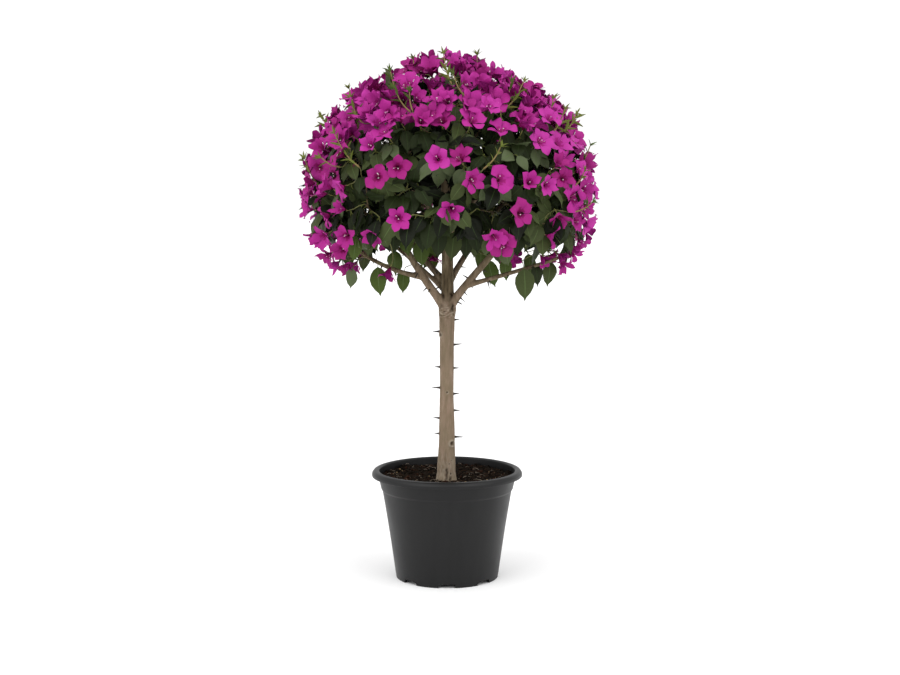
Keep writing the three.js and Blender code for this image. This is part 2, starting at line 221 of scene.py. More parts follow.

# The joined pieces' materials as (name, tone, kind), and the places in those lists
# The deepest leaf tone is painted shade for leaves inside the crown, the greyest a painted sheen, and the
# olive painted light coming through the low and hanging leaves
LEAF_SHADED, LEAF_DARK, LEAF_GREEN, LEAF_SHEEN, LEAF_BACKLIT, LEAF_RIB, LEAF_RIB_DARK, LEAF_STALK = range(8)
LEAF_LOOKS = [
    ("leaf_painted_shade", (15, 20, 6), BLADE), ("leaf_dark", (35, 44, 19), BLADE),
    ("leaf_green", (66, 76, 42), BLADE), ("leaf_painted_sheen", (84, 95, 65), BLADE),
    ("leaf_painted_backlight", (66, 82, 31), BLADE), ("leaf_rib", (84, 102, 58), RIB),
    ("leaf_rib_dark", (46, 62, 30), RIB), ("leaf_stalk", (104, 112, 54), STALK),
]
SHOOT_STEM, SHOOT_RED = 2, 3
SHOOT_LOOKS = [
    ("shoot_leaf", (80, 100, 44), YOUNG_BLADE), ("shoot_leaf_pale", (106, 116, 52), YOUNG_BLADE),
    ("shoot_stem", (130, 112, 72), YOUNG_STEM), ("shoot_leaf_red", (122, 48, 78), YOUNG_STEM),
]
# Blooms: so many tones of the petals' outer parts, then as many of their inner parts, painted shade towards
# the throat and the petals' own darker veins further out, and the rest, whose throat tone is painted shade
BLOOM_TONES = 4
BLOOM_THROAT_SHADE, BLOOM_STALK, BLOOM_FILAMENT, BLOOM_EYE = range(2 * BLOOM_TONES, 2 * BLOOM_TONES + 4)
BLOOM_LOOKS = [
    ("petal_1", (172, 40, 138), PETAL), ("petal_2", (163, 35, 128), PETAL),
    ("petal_3", (181, 50, 150), PETAL), ("petal_4", (156, 31, 118), PETAL),
    ("petal_vein_and_shade_1", (149, 24, 108), PETAL), ("petal_vein_and_shade_2", (140, 20, 98), PETAL),
    ("petal_vein_and_shade_3", (160, 30, 121), PETAL), ("petal_vein_and_shade_4", (131, 16, 87), PETAL),
    ("bloom_throat_painted_shade", (88, 5, 44), THROAT), ("bloom_stalk", (132, 128, 66), FLOWER_PART),
    ("bloom_filament", (196, 110, 150), FLOWER_PART), ("bloom_eye", (226, 206, 214), FLOWER_PART),
]
TWIG_LOOKS = [("twig_brown", (98, 82, 58), BROWN_TWIG), ("twig_green", (112, 112, 66), GREEN_TWIG)]

# Leaves: rows along the blade and columns across it, and half the width out of the length
LEAF_ROWS = np.array([0.0, 0.09, 0.24, 0.42, 0.60, 0.77, 0.90, 1.0])
LEAF_COLUMNS = np.array([-1.0, -0.55, -0.045, 0.045, 0.55, 1.0])
LEAF_HALF_WIDTH = 0.30
# Sprays this far inside the outline, as a share of it, take the painted-shade tones
SHADED_DEPTH = 0.22
# Leaves under these heights get brighter tones, the lower ones most: painted light coming through them
LOW_LEAF_Z, MIDDLE_LEAF_Z = 0.66, 0.73

# Blooms: rows along a petal and columns across it, how far it is joined to its neighbours, and its form
PETAL_ROWS = np.array([0.0, 0.16, 0.32, 0.47, 0.61, 0.74, 0.86, 0.95, 1.0])
PETAL_COLUMNS = np.array([-1.0, -0.5, 0.0, 0.5, 1.0])
PETAL_JOIN = 0.64
PETAL_OVERLAP = 1.10
PETAL_FLARE = 1.35
PETAL_BLUNTNESS = (1.40, 2.00)
BLOOM_RADIUS = (0.0208, 0.0262)
HIGH_BLOOM_RADIUS = (0.0240, 0.0292)
HIGH_BLOOM_Z = 0.775
LOW_BLOOM_RADIUS = (0.0205, 0.0245)
BLOOM_STALK_LENGTH = (0.005, 0.011)
# Above which height blooms are in twos, and how many of them
TWIN_BLOOM_Z, TWIN_SHARE = 0.80, 0.5
# How blooms keep inside the outline, how much they turn up on the crown's shoulders and out on its top,
# and between which heights each of those sets in
BLOOM_ROOM = 0.98
BLOOM_TOP_SINK = 0.038
BLOOM_LIFT = 0.40
BLOOM_SPREAD = 0.50
SHOULDER = (0.76, 0.86)
TOP = (0.88, 0.95)

# Twigs: height of the leader's lowest one, the length of a step, and the radius under which they are green
LOWEST_LEADER_TWIG = 0.62
TWIG_STEP = 0.012
GREEN_TWIG_R = 0.0013
# Distance between the leaves of a young shoot
SHOOT_JOINT = 0.013

# Blooms that show best from the front, as x and z on the crown's front
FRONT_BLOOMS = [
    (-0.017, 0.790), (0.033, 0.781), (0.038, 0.752), (-0.053, 0.857), (0.043, 0.852), (-0.085, 0.856),
    (0.094, 0.750), (0.155, 0.744), (0.010, 0.700), (-0.097, 0.678), (0.133, 0.686), (-0.196, 0.692),
    (0.085, 0.648), (0.110, 0.630), (0.218, 0.692), (-0.130, 0.755), (-0.096, 0.778),
    (-0.198, 0.792), (-0.143, 0.812), (-0.110, 0.828), (0.104, 0.832), (0.146, 0.842), (0.176, 0.822),
    (0.208, 0.772), (-0.137, 0.652), (0.240, 0.716), (0.268, 0.730), (0.262, 0.700), (0.266, 0.672),
    (-0.262, 0.745), (-0.270, 0.720), (-0.266, 0.690), (0.246, 0.668), (0.070, 0.884), (0.026, 0.874),
    (-0.012, 0.895), (0.160, 0.886), (0.226, 0.752),
]
# Blooms that hang at the ends of the low twigs
LOW_BLOOMS = [
    (-0.212, -0.080, 0.612), (-0.197, -0.085, 0.597), (-0.181, -0.090, 0.596), (-0.166, -0.085, 0.597),
    (-0.104, -0.100, 0.587), (-0.243, -0.050, 0.652), (-0.231, -0.060, 0.645), (0.173, -0.080, 0.608),
    (0.203, -0.080, 0.612), (0.209, -0.085, 0.598), (0.227, -0.080, 0.620), (0.244, -0.060, 0.640),
]
# Young shoots that show from the front: x and z of the tip, and of the foot, on the crown's front
FRONT_SHOOTS = [
    ((-0.006, 0.968), (0.008, 0.912)), ((-0.099, 0.935), (-0.086, 0.900)),
    ((-0.170, 0.890), (-0.148, 0.846)), ((-0.229, 0.862), (-0.168, 0.800)),
    ((-0.089, 0.902), (-0.063, 0.862)), ((-0.064, 0.896), (-0.058, 0.862)),
    ((-0.195, 0.826), (-0.150, 0.768)), ((0.012, 0.926), (0.032, 0.888)),
    ((0.135, 0.918), (0.092, 0.862)), ((0.112, 0.915), (0.098, 0.874)),
    ((0.188, 0.888), (0.180, 0.856)), ((0.210, 0.872), (0.188, 0.832)),
    ((0.236, 0.866), (0.204, 0.832)), ((0.090, 0.800), (0.062, 0.764)),
    ((0.240, 0.760), (0.222, 0.734)), ((0.254, 0.706), (0.222, 0.690)),
    ((-0.218, 0.784), (-0.186, 0.768)),
]
# Leaves that hang singly under the front: place of the foot, length, and tone. Their olive tone is painted
# light coming through, the grey one a painted sheen.
HANGING_LEAVES = [
    (-0.123, -0.100, 0.598, 0.056, LEAF_BACKLIT), (-0.077, -0.020, 0.586, 0.046, LEAF_BACKLIT),
    (-0.166, -0.100, 0.594, 0.038, LEAF_SHEEN), (-0.178, -0.110, 0.655, 0.050, LEAF_DARK),
    (-0.045, -0.040, 0.645, 0.050, LEAF_BACKLIT), (-0.012, -0.120, 0.668, 0.056, LEAF_DARK),
    (0.012, -0.090, 0.660, 0.054, LEAF_GREEN), (-0.040, -0.140, 0.680, 0.054, LEAF_DARK),
    (0.046, -0.130, 0.676, 0.056, LEAF_DARK), (0.136, -0.100, 0.598, 0.060, LEAF_GREEN),
    (0.158, -0.070, 0.604, 0.044, LEAF_DARK), (0.075, 0.010, 0.606, 0.057, LEAF_BACKLIT),
    (0.104, 0.020, 0.610, 0.048, LEAF_BACKLIT), (0.034, -0.050, 0.652, 0.046, LEAF_DARK),
    (0.140, -0.030, 0.672, 0.052, LEAF_GREEN), (-0.022, 0.020, 0.650, 0.046, LEAF_BACKLIT),
    (0.126, -0.060, 0.664, 0.050, LEAF_DARK), (-0.094, -0.080, 0.664, 0.046, LEAF_DARK),
    (-0.140, -0.100, 0.660, 0.046, LEAF_GREEN), (0.050, -0.020, 0.650, 0.044, LEAF_GREEN),
    (0.186, -0.060, 0.606, 0.048, LEAF_GREEN), (-0.095, 0.020, 0.622, 0.050, LEAF_BACKLIT),
    (0.092, 0.040, 0.640, 0.050, LEAF_GREEN), (-0.112, -0.060, 0.668, 0.050, LEAF_DARK),
    (-0.078, -0.040, 0.664, 0.052, LEAF_BACKLIT), (0.084, -0.050, 0.674, 0.050, LEAF_DARK),
    (0.104, -0.030, 0.660, 0.050, LEAF_GREEN),
]

# Where sky shows through the crown from the front: x and z of each opening, and its radius
OPENINGS = [
    (-0.028, 0.727, 0.034), (0.073, 0.720, 0.021), (-0.143, 0.708, 0.022), (0.056, 0.665, 0.016),
    (-0.077, 0.720, 0.022),
]

# Tips of the long twigs that lead out of the low boughs
LEADING_TWIGS = [
    (-0.160, -0.060, 0.606), (-0.196, -0.066, 0.606), (-0.150, -0.120, 0.650), (0.110, -0.120, 0.662),
    (0.170, -0.120, 0.690), (0.190, -0.070, 0.612), (-0.090, -0.130, 0.655), (-0.225, -0.055, 0.650),
]

# How many random points on the CAD masses the places are picked from, and their spacing by height
CANDIDATE_COUNT = 26000
BLOOM_SPACING = [
    (0.60, 0.085), (0.64, 0.050), (0.70, 0.040), (0.80, 0.039), (0.87, 0.035), (0.96, 0.031),
]
LEAF_SPACING = [(0.62, 0.100), (0.66, 0.066), (0.72, 0.050), (0.96, 0.046)]
INNER_SPACING = [(0.0, 0.051)]
SHOOT_SPACING = [(0.0, 0.078)]
HANGING_SPACING = [(0.0, 0.105)]
# Where each kind may be: the outline measure at which the skin starts, the two that the inner leaves lie
# between, and heights
SKIN_MEASURE = 0.90
INNER_MEASURE = (0.18, 0.86)
LOWEST_BLOOM, LOWEST_LEAF, LOWEST_SHOOT = 0.585, 0.635, 0.78
HANGING_HEIGHTS = (0.57, 0.62)
# How near the axis and how far forward leaves still hang by rule
HANGING_LEAST_R, HANGING_LEAST_Y = 0.15, -0.05
# The inner leaves' lowest height at a distance from the axis, and how much it falls further out
INNER_FLOOR_Z, INNER_FLOOR_R, INNER_FLOOR_FALL = 0.70, 0.10, 0.25
# Parts of the front, as greatest Y, half width and top, where no more blooms go, no shoots, and few leaves
BLOOM_FREE_FRONT = (-0.07, 0.19, 0.845)
SHOOT_FREE_FRONT = (-0.10, 1.0, 0.88)
THIN_FRONT = (-0.15, 0.12, 0.75)
THINNED_SHARE = 0.6
# How clear of the front's blooms the leafy twigs keep
FRONT_BLOOM_GAP = 0.027
# How many leaves fan out under a bloom, and how long leaves are, by height
FAN_LEAVES = [(0.60, 0.6), (0.66, 2.0), (0.72, 3.0), (0.80, 3.0), (0.86, 2.0)]
LEAF_LENGTH = [(0.60, 0.050), (0.70, 0.046), (0.80, 0.040), (0.95, 0.036)]
# How far inside the outline a twig's tip stops, and how much further a leafy one's does at the top
SPRAY_DEPTH = {
    "inner": 0.0,
    "leafy": 0.044,
    "hanging": 0.034,
    "bloom": 0.030,
    "front_bloom": 0.014,
    "low_bloom": 0.010,
    "shoot": 0.0,
}
TOP_LEAF_SINK = 0.012
# The height that parts the upper pieces of leaves and blooms from the lower
LEVEL_SPLIT = 0.755


# Plain mathematics


def unit(vector):
    return vector / max(np.linalg.norm(vector), 1e-9)


def lerp(ends, share):
    return ends[0] + (ends[1] - ends[0]) * share


def smoothstep(value, low, high):
    share = min(max((value - low) / (high - low), 0.0), 1.0)
    return share * share * (3 - 2 * share)


def from_table(table, place):
    """The value at a place in a table of (place, value) pairs, on straight lines between them."""
    return np.interp(place, *zip(*table))


def heading_vector(degrees):
    angle = math.radians(degrees)
    return np.array([math.cos(angle), math.sin(angle), 0.0])


def sloping(heading, rise):
    """The direction with a heading and a rise above the level, both in degrees."""
    return heading_vector(heading) * math.cos(math.radians(rise)) + UP * math.sin(math.radians(rise))


def across(direction, rough):
    """The part of a rough direction that is square to another, with length 1."""
    rest = rough - direction * np.dot(rough, direction)
    if np.linalg.norm(rest) < 0.15:
        spare = UP if abs(direction[2]) < 0.9 else np.array([1.0, 0.0, 0.0])
        rest = spare - direction * np.dot(spare, direction)
    return unit(rest)


def around(axis, first, turn):
    """The direction that is a turn about an axis away from a first one square to it."""
    return first * math.cos(turn) + np.cross(axis, first) * math.sin(turn)


def even_angles(count):
    return np.arange(count) * 2 * math.pi / count


def scattered(rng, size):
    """A random vector of about this length."""
    return rng.normal(size=3) * size / math.sqrt(3)


def own_rng(place):
    """A spray's own source of random numbers, so that a change to one spray leaves the others alone."""
    return np.random.default_rng([CROWN_SEED, *(int(abs(value) * 1e5) for value in place)])


def colour(red, green, blue):
    """A colour as it is to look, from 0 to 255, as the linear colour that a shader takes."""
    linear = [COLOUR_SHARE * ((value / 255 + 0.055) / 1.055) ** 2.4 for value in (red, green, blue)]
    return (*linear, 1.0)


# Meshes


class Joined:
    """Many small shapes that become one mesh."""

    def __init__(self):
        self.points = []
        self.faces = []
        self.slots = []
        self.count = 0

    def add(self, points, faces, slots=0):
        """Adds a shape, its faces in one material slot or each in its own."""
        self.faces.extend(tuple(index + self.count for index in face) for face in faces)
        self.slots.extend([slots] * len(faces) if isinstance(slots, int) else slots)
        self.points.append(np.asarray(points, float))
        self.count += len(points)

    def piece(self, name, materials):
        mesh = bpy.data.meshes.new(name)
        mesh.from_pydata(np.concatenate(self.points).tolist(), [], self.faces)
        for material in materials:
            mesh.materials.append(material)
        mesh.polygons.foreach_set("material_index", self.slots)
        mesh.polygons.foreach_set("use_smooth", [True] * len(self.faces))
        mesh.update()
        piece = bpy.data.objects.new(name, mesh)
        bpy.context.scene.collection.objects.link(piece)
        return piece


def place_piece(piece, slot, *nodes):
    """Lets a piece ride on the plant's one body, in place of the CAD nodes that it stands for."""
    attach(piece, "root")
    if nodes:
        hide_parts(*nodes)


def with_modifiers(piece):
    """Turns a piece's modifiers into its own mesh."""
    bpy.context.view_layer.update()
    graph = bpy.context.evaluated_depsgraph_get()
    mesh = bpy.data.meshes.new_from_object(piece.evaluated_get(graph))
    piece.modifiers.clear()
    piece.data = mesh


def grid_faces(rows, columns, closed=False):
    """Quads between rows of points, each row of so many columns."""
    faces = []
    for row in range(rows - 1):
        for column in range(columns if closed else columns - 1):
            right = (column + 1) % columns
            start = row * columns
            faces.append((start + column, start + right, start + columns + right, start + columns + column))
    return faces


def tube(points, radii, sides, capped=True):
    """Points and faces of a round tube along a middle line."""
    points = np.asarray(points, float)
    tangents = np.gradient(points, axis=0)
    normal = across(unit(tangents[0]), UP if abs(unit(tangents[0])[2]) < 0.9 else heading_vector(0))
    angles = even_angles(sides)
    rings = []
    for point, tangent, radius in zip(points, tangents, radii):
        tangent = unit(tangent)
        normal = across(tangent, normal)
        binormal = np.cross(tangent, normal)
        circle = np.outer(np.cos(angles), normal) + np.outer(np.sin(angles), binormal)
        rings.append(point + circle * radius)
    faces = grid_faces(len(points), sides, closed=True)
    if capped:
        faces.append(tuple(reversed(range(sides))))
        faces.append(tuple(range((len(points) - 1) * sides, len(points) * sides)))
    return np.concatenate(rings), faces


def ring(radius, height, count):
    """Points of a level circle about the upright axis."""
    return [(radius * math.cos(angle), radius * math.sin(angle), height) for angle in even_angles(count)]


def turned(profile, segments):
    """Points and faces of a closed outline of (radius, height) turned about the upright axis."""
    points = [point for radius, height in profile for point in ring(radius, height, segments)]
    faces = grid_faces(len(profile), segments, closed=True)
    last = (len(profile) - 1) * segments
    for column in range(segments):
        right = (column + 1) % segments
        faces.append((last + column, last + right, right, column))
    return points, faces


def rounded(corners, steps=5):
    """An open outline of (radius, height, rounding) corners, with an arc in place of each rounded one."""
    outline = [corners[0][:2]]
    for before, corner, after in zip(corners, corners[1:], corners[2:]):
        place = np.array(corner[:2])
        way_in, way_out = unit(place - before[:2]), unit(after[:2] - place)
        turn = math.acos(np.clip(np.dot(way_in, way_out), -1, 1))
        back = corner[2] * math.tan(turn / 2)
        start, end = place - way_in * back, place + way_out * back
        shares = np.linspace(0, 1, steps + 1) if back else [0]
        outline += [tuple((1 - t) ** 2 * start + 2 * t * (1 - t) * place + t * t * end) for t in shares]
    return [*outline, corners[-1][:2]]


# Materials


class Look:
    """A material in the making: one shader, and the patterns that feed it."""

    def __init__(self, name, base, roughness, specular=0.5):
        self.material = bpy.data.materials.new(name)
        self.material.use_nodes = True
        self.tree = self.material.node_tree
        self.shader = self.tree.nodes["Principled BSDF"]
        self.feed(self.shader, {"Base Color": base, "Roughness": roughness, "Specular IOR Level": specular})

    def feed(self, node, inputs):
        """Gives each input of a node a plain value, or a link from another node's output."""
        for key, value in inputs.items():
            if isinstance(value, bpy.types.NodeSocket):
                self.tree.links.new(value, node.inputs[key])
            else:
                node.inputs[key].default_value = value

    def node(self, kind, inputs):
        """A new node with its inputs fed."""
        node = self.tree.nodes.new(kind)
        self.feed(node, inputs)
        return node

    def noise(self, scale, stretch=(1, 1, 1), detail=4, roughness=0.55):
        """A noise pattern in the object's own metres, drawn out along an axis by a stretch under 1."""
        place = self.node("ShaderNodeTexCoord", {}).outputs["Object"]
        place = self.node("ShaderNodeMapping", {"Scale": stretch, "Vector": place}).outputs["Vector"]
        settings = {"Scale": scale, "Detail": detail, "Roughness": roughness, "Vector": place}
        return self.node("ShaderNodeTexNoise", settings).outputs["Fac"]

    def ramp(self, factor, stops):
        """Colours along a factor, from (position, colour) stops."""
        node = self.node("ShaderNodeValToRGB", {"Fac": factor})
        elements = node.color_ramp.elements
        elements[0].position, elements[0].color = stops[0]
        elements[1].position, elements[1].color = stops[-1]
        for position, value in stops[1:-1]:
            elements.new(position).color = value
        return node.outputs["Color"]

    def mask(self, factor, start, end, most):
        """A factor for mixing that rises from 0 to its most between two levels of a pattern."""
        return self.ramp(factor, [(start, (0, 0, 0, 1)), (end, (most, most, most, 1))])

    def spread(self, factor, low, high):
        """A pattern's usual range, stretched to lie between two values."""
        limits = {"From Min": 0.3, "From Max": 0.7, "To Min": low, "To Max": high, "Value": factor}
        return self.node("ShaderNodeMapRange", limits).outputs["Result"]

    def mix(self, factor, first, second):
        """Two colours mixed by a factor. Each may be an output or a plain value."""
        node = self.node("ShaderNodeMix", {})
        node.data_type = "RGBA"
        self.feed(node, {0: factor, 6: first, 7: second})
        return node.outputs[2]

    def attribute(self, name):
        """A value that the mesh holds at each of its points."""
        node = self.node("ShaderNodeAttribute", {})
        node.attribute_name = name
        return node.outputs["Fac"]

    def bump(self, heights, depths, strength):
        """Bumps stacked on the shader's normal, each from one pattern."""
        normal = {}
        for height, depth in zip(heights, depths):
            settings = {"Strength": strength, "Distance": depth, "Height": height, **normal}
            normal = {"Normal": self.node("ShaderNodeBump", settings).outputs["Normal"]}
        self.feed(self.shader, normal)


def plant_material(name, tone, kind):
    """Leaf, petal or stalk: one plain colour, with a fine grain in its gloss and relief."""
    roughness, grain, specular = kind
    look = Look(name, colour(*tone), roughness[0], specular)
    pattern = look.noise(grain)
    look.feed(look.shader, {"Roughness": look.spread(pattern, *roughness)})
    look.bump([pattern], [0.0003], 0.35)
    return look.material


def pot_material():
    """Black moulded plastic: fine grain, faint upright flow marks, and rubbed, dusty places."""
    look = Look("pot_plastic", colour(10, 10, 11), 0.42, 0.30)
    flow = look.noise(60, stretch=(1, 1, 0.06), detail=5)
    cloud = look.noise(14, detail=6)
    grain = look.noise(900, detail=2)
    dust = look.noise(300, detail=8, roughness=0.7)
    body = look.ramp(cloud, [(0.35, colour(7, 7, 8)), (0.65, colour(13, 13, 14))])
    streaks = look.ramp(flow, [(0.40, colour(6, 6, 7)), (0.62, colour(17, 17, 18))])
    streaked = look.mix(0.35, body, streaks)
    dusty = look.mix(look.mask(dust, 0.66, 0.74, 0.25), streaked, colour(70, 66, 62))
    look.feed(look.shader, {"Base Color": dusty, "Roughness": look.spread(cloud, 0.36, 0.50)})
    look.bump([flow, grain], [0.0004, 0.00012], 0.3)
    return look.material


def compost_material(name, dark, light):
    """Moist peaty compost, or a crumb or fibre in it."""
    look = Look(name, colour(*dark), 0.9, 0.04)
    clods = look.noise(240, detail=8, roughness=0.7)
    tones = look.ramp(clods, [(0.38, colour(*dark)), (0.66, colour(*light))])
    look.feed(look.shader, {"Base Color": tones, "Roughness": look.spread(clods, 0.95, 0.72)})
    look.bump([clods], [0.0016], 0.8)
    return look.material


def bark_material():
    """Pale grey-brown bark in upright streaks, browner on the limbs in the crown, dark in its scars and
    with painted shade in the fork's crotches and wrinkles, pale on calluses and with painted light on the
    wrinkles' crests and the trunk's foot.
    """
    look = Look("bark", colour(140, 122, 100), 0.8, 0.15)
    streaks = look.noise(150, stretch=(1, 1, 0.20), detail=6, roughness=0.6)
    patches = look.noise(26, stretch=(1, 1, 0.5), detail=4)
    specks = look.noise(520, stretch=(1, 1, 0.6), detail=3)
    old = look.ramp(streaks, [
        (0.28, colour(108, 92, 75)), (0.46, colour(127, 110, 90)),
        (0.58, colour(138, 117, 99)), (0.76, colour(155, 138, 119)),
    ])
    old = look.mix(look.mask(patches, 0.45, 0.70, 0.55), old, colour(134, 121, 98))
    old = look.mix(look.mask(specks, 0.64, 0.74, 0.5), old, colour(84, 70, 52))
    young = look.ramp(streaks, [
        (0.32, colour(70, 59, 41)), (0.52, colour(108, 94, 71)), (0.72, colour(142, 128, 102)),
    ])
    youth, scar_and_painted_shade, callus_and_painted_light = [look.attribute(name) for name in ("youth", "scar_and_painted_shade", "callus_and_painted_light")]
    grown = look.mix(youth, old, young)
    # Paler with calluses and painted light, darker with scars and painted shade
    grown = look.mix(callus_and_painted_light, grown, colour(176, 164, 146))
    grown = look.mix(scar_and_painted_shade, grown, colour(38, 26, 14))
    look.feed(look.shader, {"Base Color": grown, "Roughness": look.spread(streaks, 0.88, 0.70)})
    look.bump([streaks, specks], [0.0008, 0.0003], 0.6)
    return look.material


# Studio


def make_stage():
    """The camera at the photograph's angle, a pale floor and soft light."""
    scene = bpy.context.scene
    camera = bpy.data.objects.new("camera", bpy.data.cameras.new("camera"))
    camera.location = CAMERA_PLACE
    camera.rotation_euler = (math.radians(90 - CAMERA_PITCH), 0, 0)
    camera.data.lens = CAMERA_LENS
    camera.data.clip_end = 2 * FLOOR_SIZE
    scene.collection.objects.link(camera)
    scene.camera = camera

    half = FLOOR_SIZE / 2
    floor = Joined()
    floor.add([(-half, -half, 0), (half, -half, 0), (half, half, 0), (-half, half, 0)], [(0, 1, 2, 3)])
    floor.piece("floor", [Look("studio_floor", FLOOR_TONE, 0.9, 0.1).material])

    scene.world = studio_world()
    for name, (heading, rise, angle, strength) in LAMPS.items():
        add_lamp(name, sloping(heading, rise), angle, strength)
    scene.view_settings.view_transform = "Standard"
    scene.view_settings.look = "None"


def studio_world():
    """A white world: the camera sees it a little brighter than it lights the plant."""
    world = bpy.data.worlds.new("studio")
    world.use_nodes = True
    nodes, links = world.node_tree.nodes, world.node_tree.links
    seen, lighting = nodes["Background"], nodes.new("ShaderNodeBackground")
    for background, strength in ((seen, BACKDROP_STRENGTH), (lighting, SKY_STRENGTH)):
        background.inputs["Color"].default_value = (1, 1, 1, 1)
        background.inputs["Strength"].default_value = strength
    path, choice = nodes.new("ShaderNodeLightPath"), nodes.new("ShaderNodeMixShader")
    links.new(path.outputs["Is Camera Ray"], choice.inputs["Fac"])
    links.new(lighting.outputs[0], choice.inputs[1])
    links.new(seen.outputs[0], choice.inputs[2])
    links.new(choice.outputs[0], nodes["World Output"].inputs["Surface"])
    return world


def add_lamp(name, source, angle, strength):
    """A broad, distant light that shines from a direction."""
    lamp = bpy.data.objects.new(name, bpy.data.lights.new(name, "SUN"))
    lamp.data.angle = math.radians(angle)
    lamp.data.energy = strength
    lamp.rotation_euler = Vector(-source).to_track_quat("-Z", "Y").to_euler()
    bpy.context.scene.collection.objects.link(lamp)


# Pot and compost


def pot_wall_radius(z):
    return FOOT_OUTER_R + WALL_FLARE * z + WALL_CURVE * z * z


def pot_outline():
    """The pot's cut from the middle of its underside, up the outside, over the lip and down inside."""
    outside = [(pot_wall_radius(z), z, 0) for z in np.linspace(0.004, LEDGE_Z - 0.004, 20)]
    inside = [(pot_wall_radius(z) - POT_WALL, z, 0) for z in np.linspace(LEDGE_Z, FLOOR_TOP_Z, 12)]
    return rounded([
        (POT_HUB_R, FLOOR_UNDERSIDE_Z, 0),
        (FOOT_INNER_R, FLOOR_UNDERSIDE_Z, 0),
        (FOOT_INNER_R, 0.0, 0.0006),
        (FOOT_OUTER_R, 0.0, 0.0009),
        *outside,
        (pot_wall_radius(LEDGE_Z), LEDGE_Z, 0.0008),
        (*BAND_FOOT, 0.0012),
        (*BAND_HEAD, 0.0030),
        *LIP_UNDERSIDE,
        *LIP_TOP,
        (BAND_HEAD[0] - POT_WALL, BAND_HEAD[1], 0.0040),
        (BAND_FOOT[0] - POT_WALL, BAND_FOOT[1], 0),
        *inside,
        (POT_HUB_R, FLOOR_TOP_Z, 0),
    ])


def pot_cutters():
    """Slanted blocks that cut the notches of the foot, and posts that cut the drain holes."""
    cutters = Joined()
    for index in range(NOTCH_COUNT):
        out = heading_vector(index * 360 / NOTCH_COUNT)
        aside = np.cross(UP, out)
        corners = []
        for z, wider in ((-0.004, 0.0), (NOTCH_HEIGHT, -NOTCH_SLANT)):
            for reach, turn in ((-1, -1), (1, -1), (1, 1), (-1, 1)):
                middle = out * (FOOT_INNER_R + reach * NOTCH_DEPTH / 2)
                corners.append(middle + aside * turn * (NOTCH_WIDTH / 2 + wider) + UP * z)
        sides = [(i, (i + 1) % 4, (i + 1) % 4 + 4, i + 4) for i in range(4)]
        cutters.add(corners, [(3, 2, 1, 0), (4, 5, 6, 7), *sides])
    for index in range(DRAIN_COUNT):
        place = heading_vector((index + 0.5) * 360 / DRAIN_COUNT) * DRAIN_RING_R
        cutters.add(*tube([place - UP * 0.01, place + UP * 0.02], [DRAIN_R] * 2, 24))
    return cutters.piece("cutters", [])


def make_pot():
    pot = Joined()
    pot.add(*turned(pot_outline(), POT_SEGMENTS))
    piece = pot.piece("pot_shell", [pot_material()])
    cutters = pot_cutters()
    cut = piece.modifiers.new("cut", "BOOLEAN")
    cut.operation, cut.solver, cut.object = "DIFFERENCE", "EXACT", cutters
    with_modifiers(piece)
    bpy.data.objects.remove(cutters)
    piece.data.set_sharp_from_angle(angle=math.radians(32))
    place_piece(piece, "pot_plastic", "pot")


def soil_height(x, y):
    """Height of the uneven compost."""
    radius = math.hypot(x, y)
    broad = noise.noise(Vector((x * 22, y * 22, 1.7)))
    clods = noise.fractal(Vector((x * 120, y * 120, 4.1)), 0.8, 2.1, 4)
    fade = smoothstep(radius, 0.016, 0.030)
    return from_table(SOIL_SLOPE, radius) + fade * SOIL_ROUGHNESS * (0.35 * broad + 0.55 * clods)


def soil_place(rng, reach):
    """A random point on the compost, clear of the trunk."""
    radius = math.sqrt(rng.uniform(0.021**2, reach**2))
    angle = rng.uniform(0, 2 * math.pi)
    x, y = radius * math.cos(angle), radius * math.sin(angle)
    return np.array([x, y, soil_height(x, y)])


def make_soil():
    """Compost with an uneven top, down to the pot's floor."""
    soil = Joined()
    points = []
    for radius in np.linspace(0.002, SOIL_SLOPE[-1][0], SOIL_RINGS):
        points += [(x, y, soil_height(x, y)) for x, y, _ in ring(radius, 0, SOIL_SPOKES)]
    for wall_z, z in ((LEDGE_Z, LEDGE_Z), (FLOOR_TOP_Z, FLOOR_TOP_Z + SOIL_GAP)):
        points += ring(pot_wall_radius(wall_z) - POT_WALL - SOIL_GAP, z, SOIL_SPOKES)
    rows = SOIL_RINGS + 2
    caps = [tuple(range((rows - 1) * SOIL_SPOKES, rows * SOIL_SPOKES)), tuple(reversed(range(SOIL_SPOKES)))]
    soil.add(points, grid_faces(rows, SOIL_SPOKES, closed=True) + caps)
    material = compost_material("compost", SOIL_DARK, SOIL_LIGHT)
    place_piece(soil.piece("compost", [material]), "compost", "soil")


def make_crumbs(rng):
    """Crumbs and bark chips that lie on the compost."""
    lump = bmesh.new()
    bmesh.ops.create_icosphere(lump, subdivisions=1, radius=1)
    shape = np.array([vertex.co for vertex in lump.verts])
    faces = [tuple(vertex.index for vertex in face.verts) for face in lump.faces]
    lump.free()
    crumbs = Joined()
    for _ in range(CRUMB_COUNT):
        place = soil_place(rng, CRUMB_REACH)
        size = 0.0006 + 0.0026 * rng.random() ** 4
        jitter = 1 + rng.normal(size=(len(shape), 1)) * 0.22
        stretch = np.array([1 + rng.random(), 0.7 + 0.5 * rng.random(), 0.6 + 0.4 * rng.random()])
        turn = rng.random() * 2 * math.pi
        axes = np.array([
            [math.cos(turn), math.sin(turn), 0],
            [-math.sin(turn), math.cos(turn), 0],
            UP,
        ])
        points = (shape * jitter * stretch * size) @ axes
        crumbs.add(points + place + UP * size * 0.3, faces, int(rng.choice(3, p=[0.76, 0.21, 0.03])))
    materials = [compost_material(*look) for look in CRUMB_LOOKS]
    place_piece(crumbs.piece("compost_crumbs", materials), "compost")


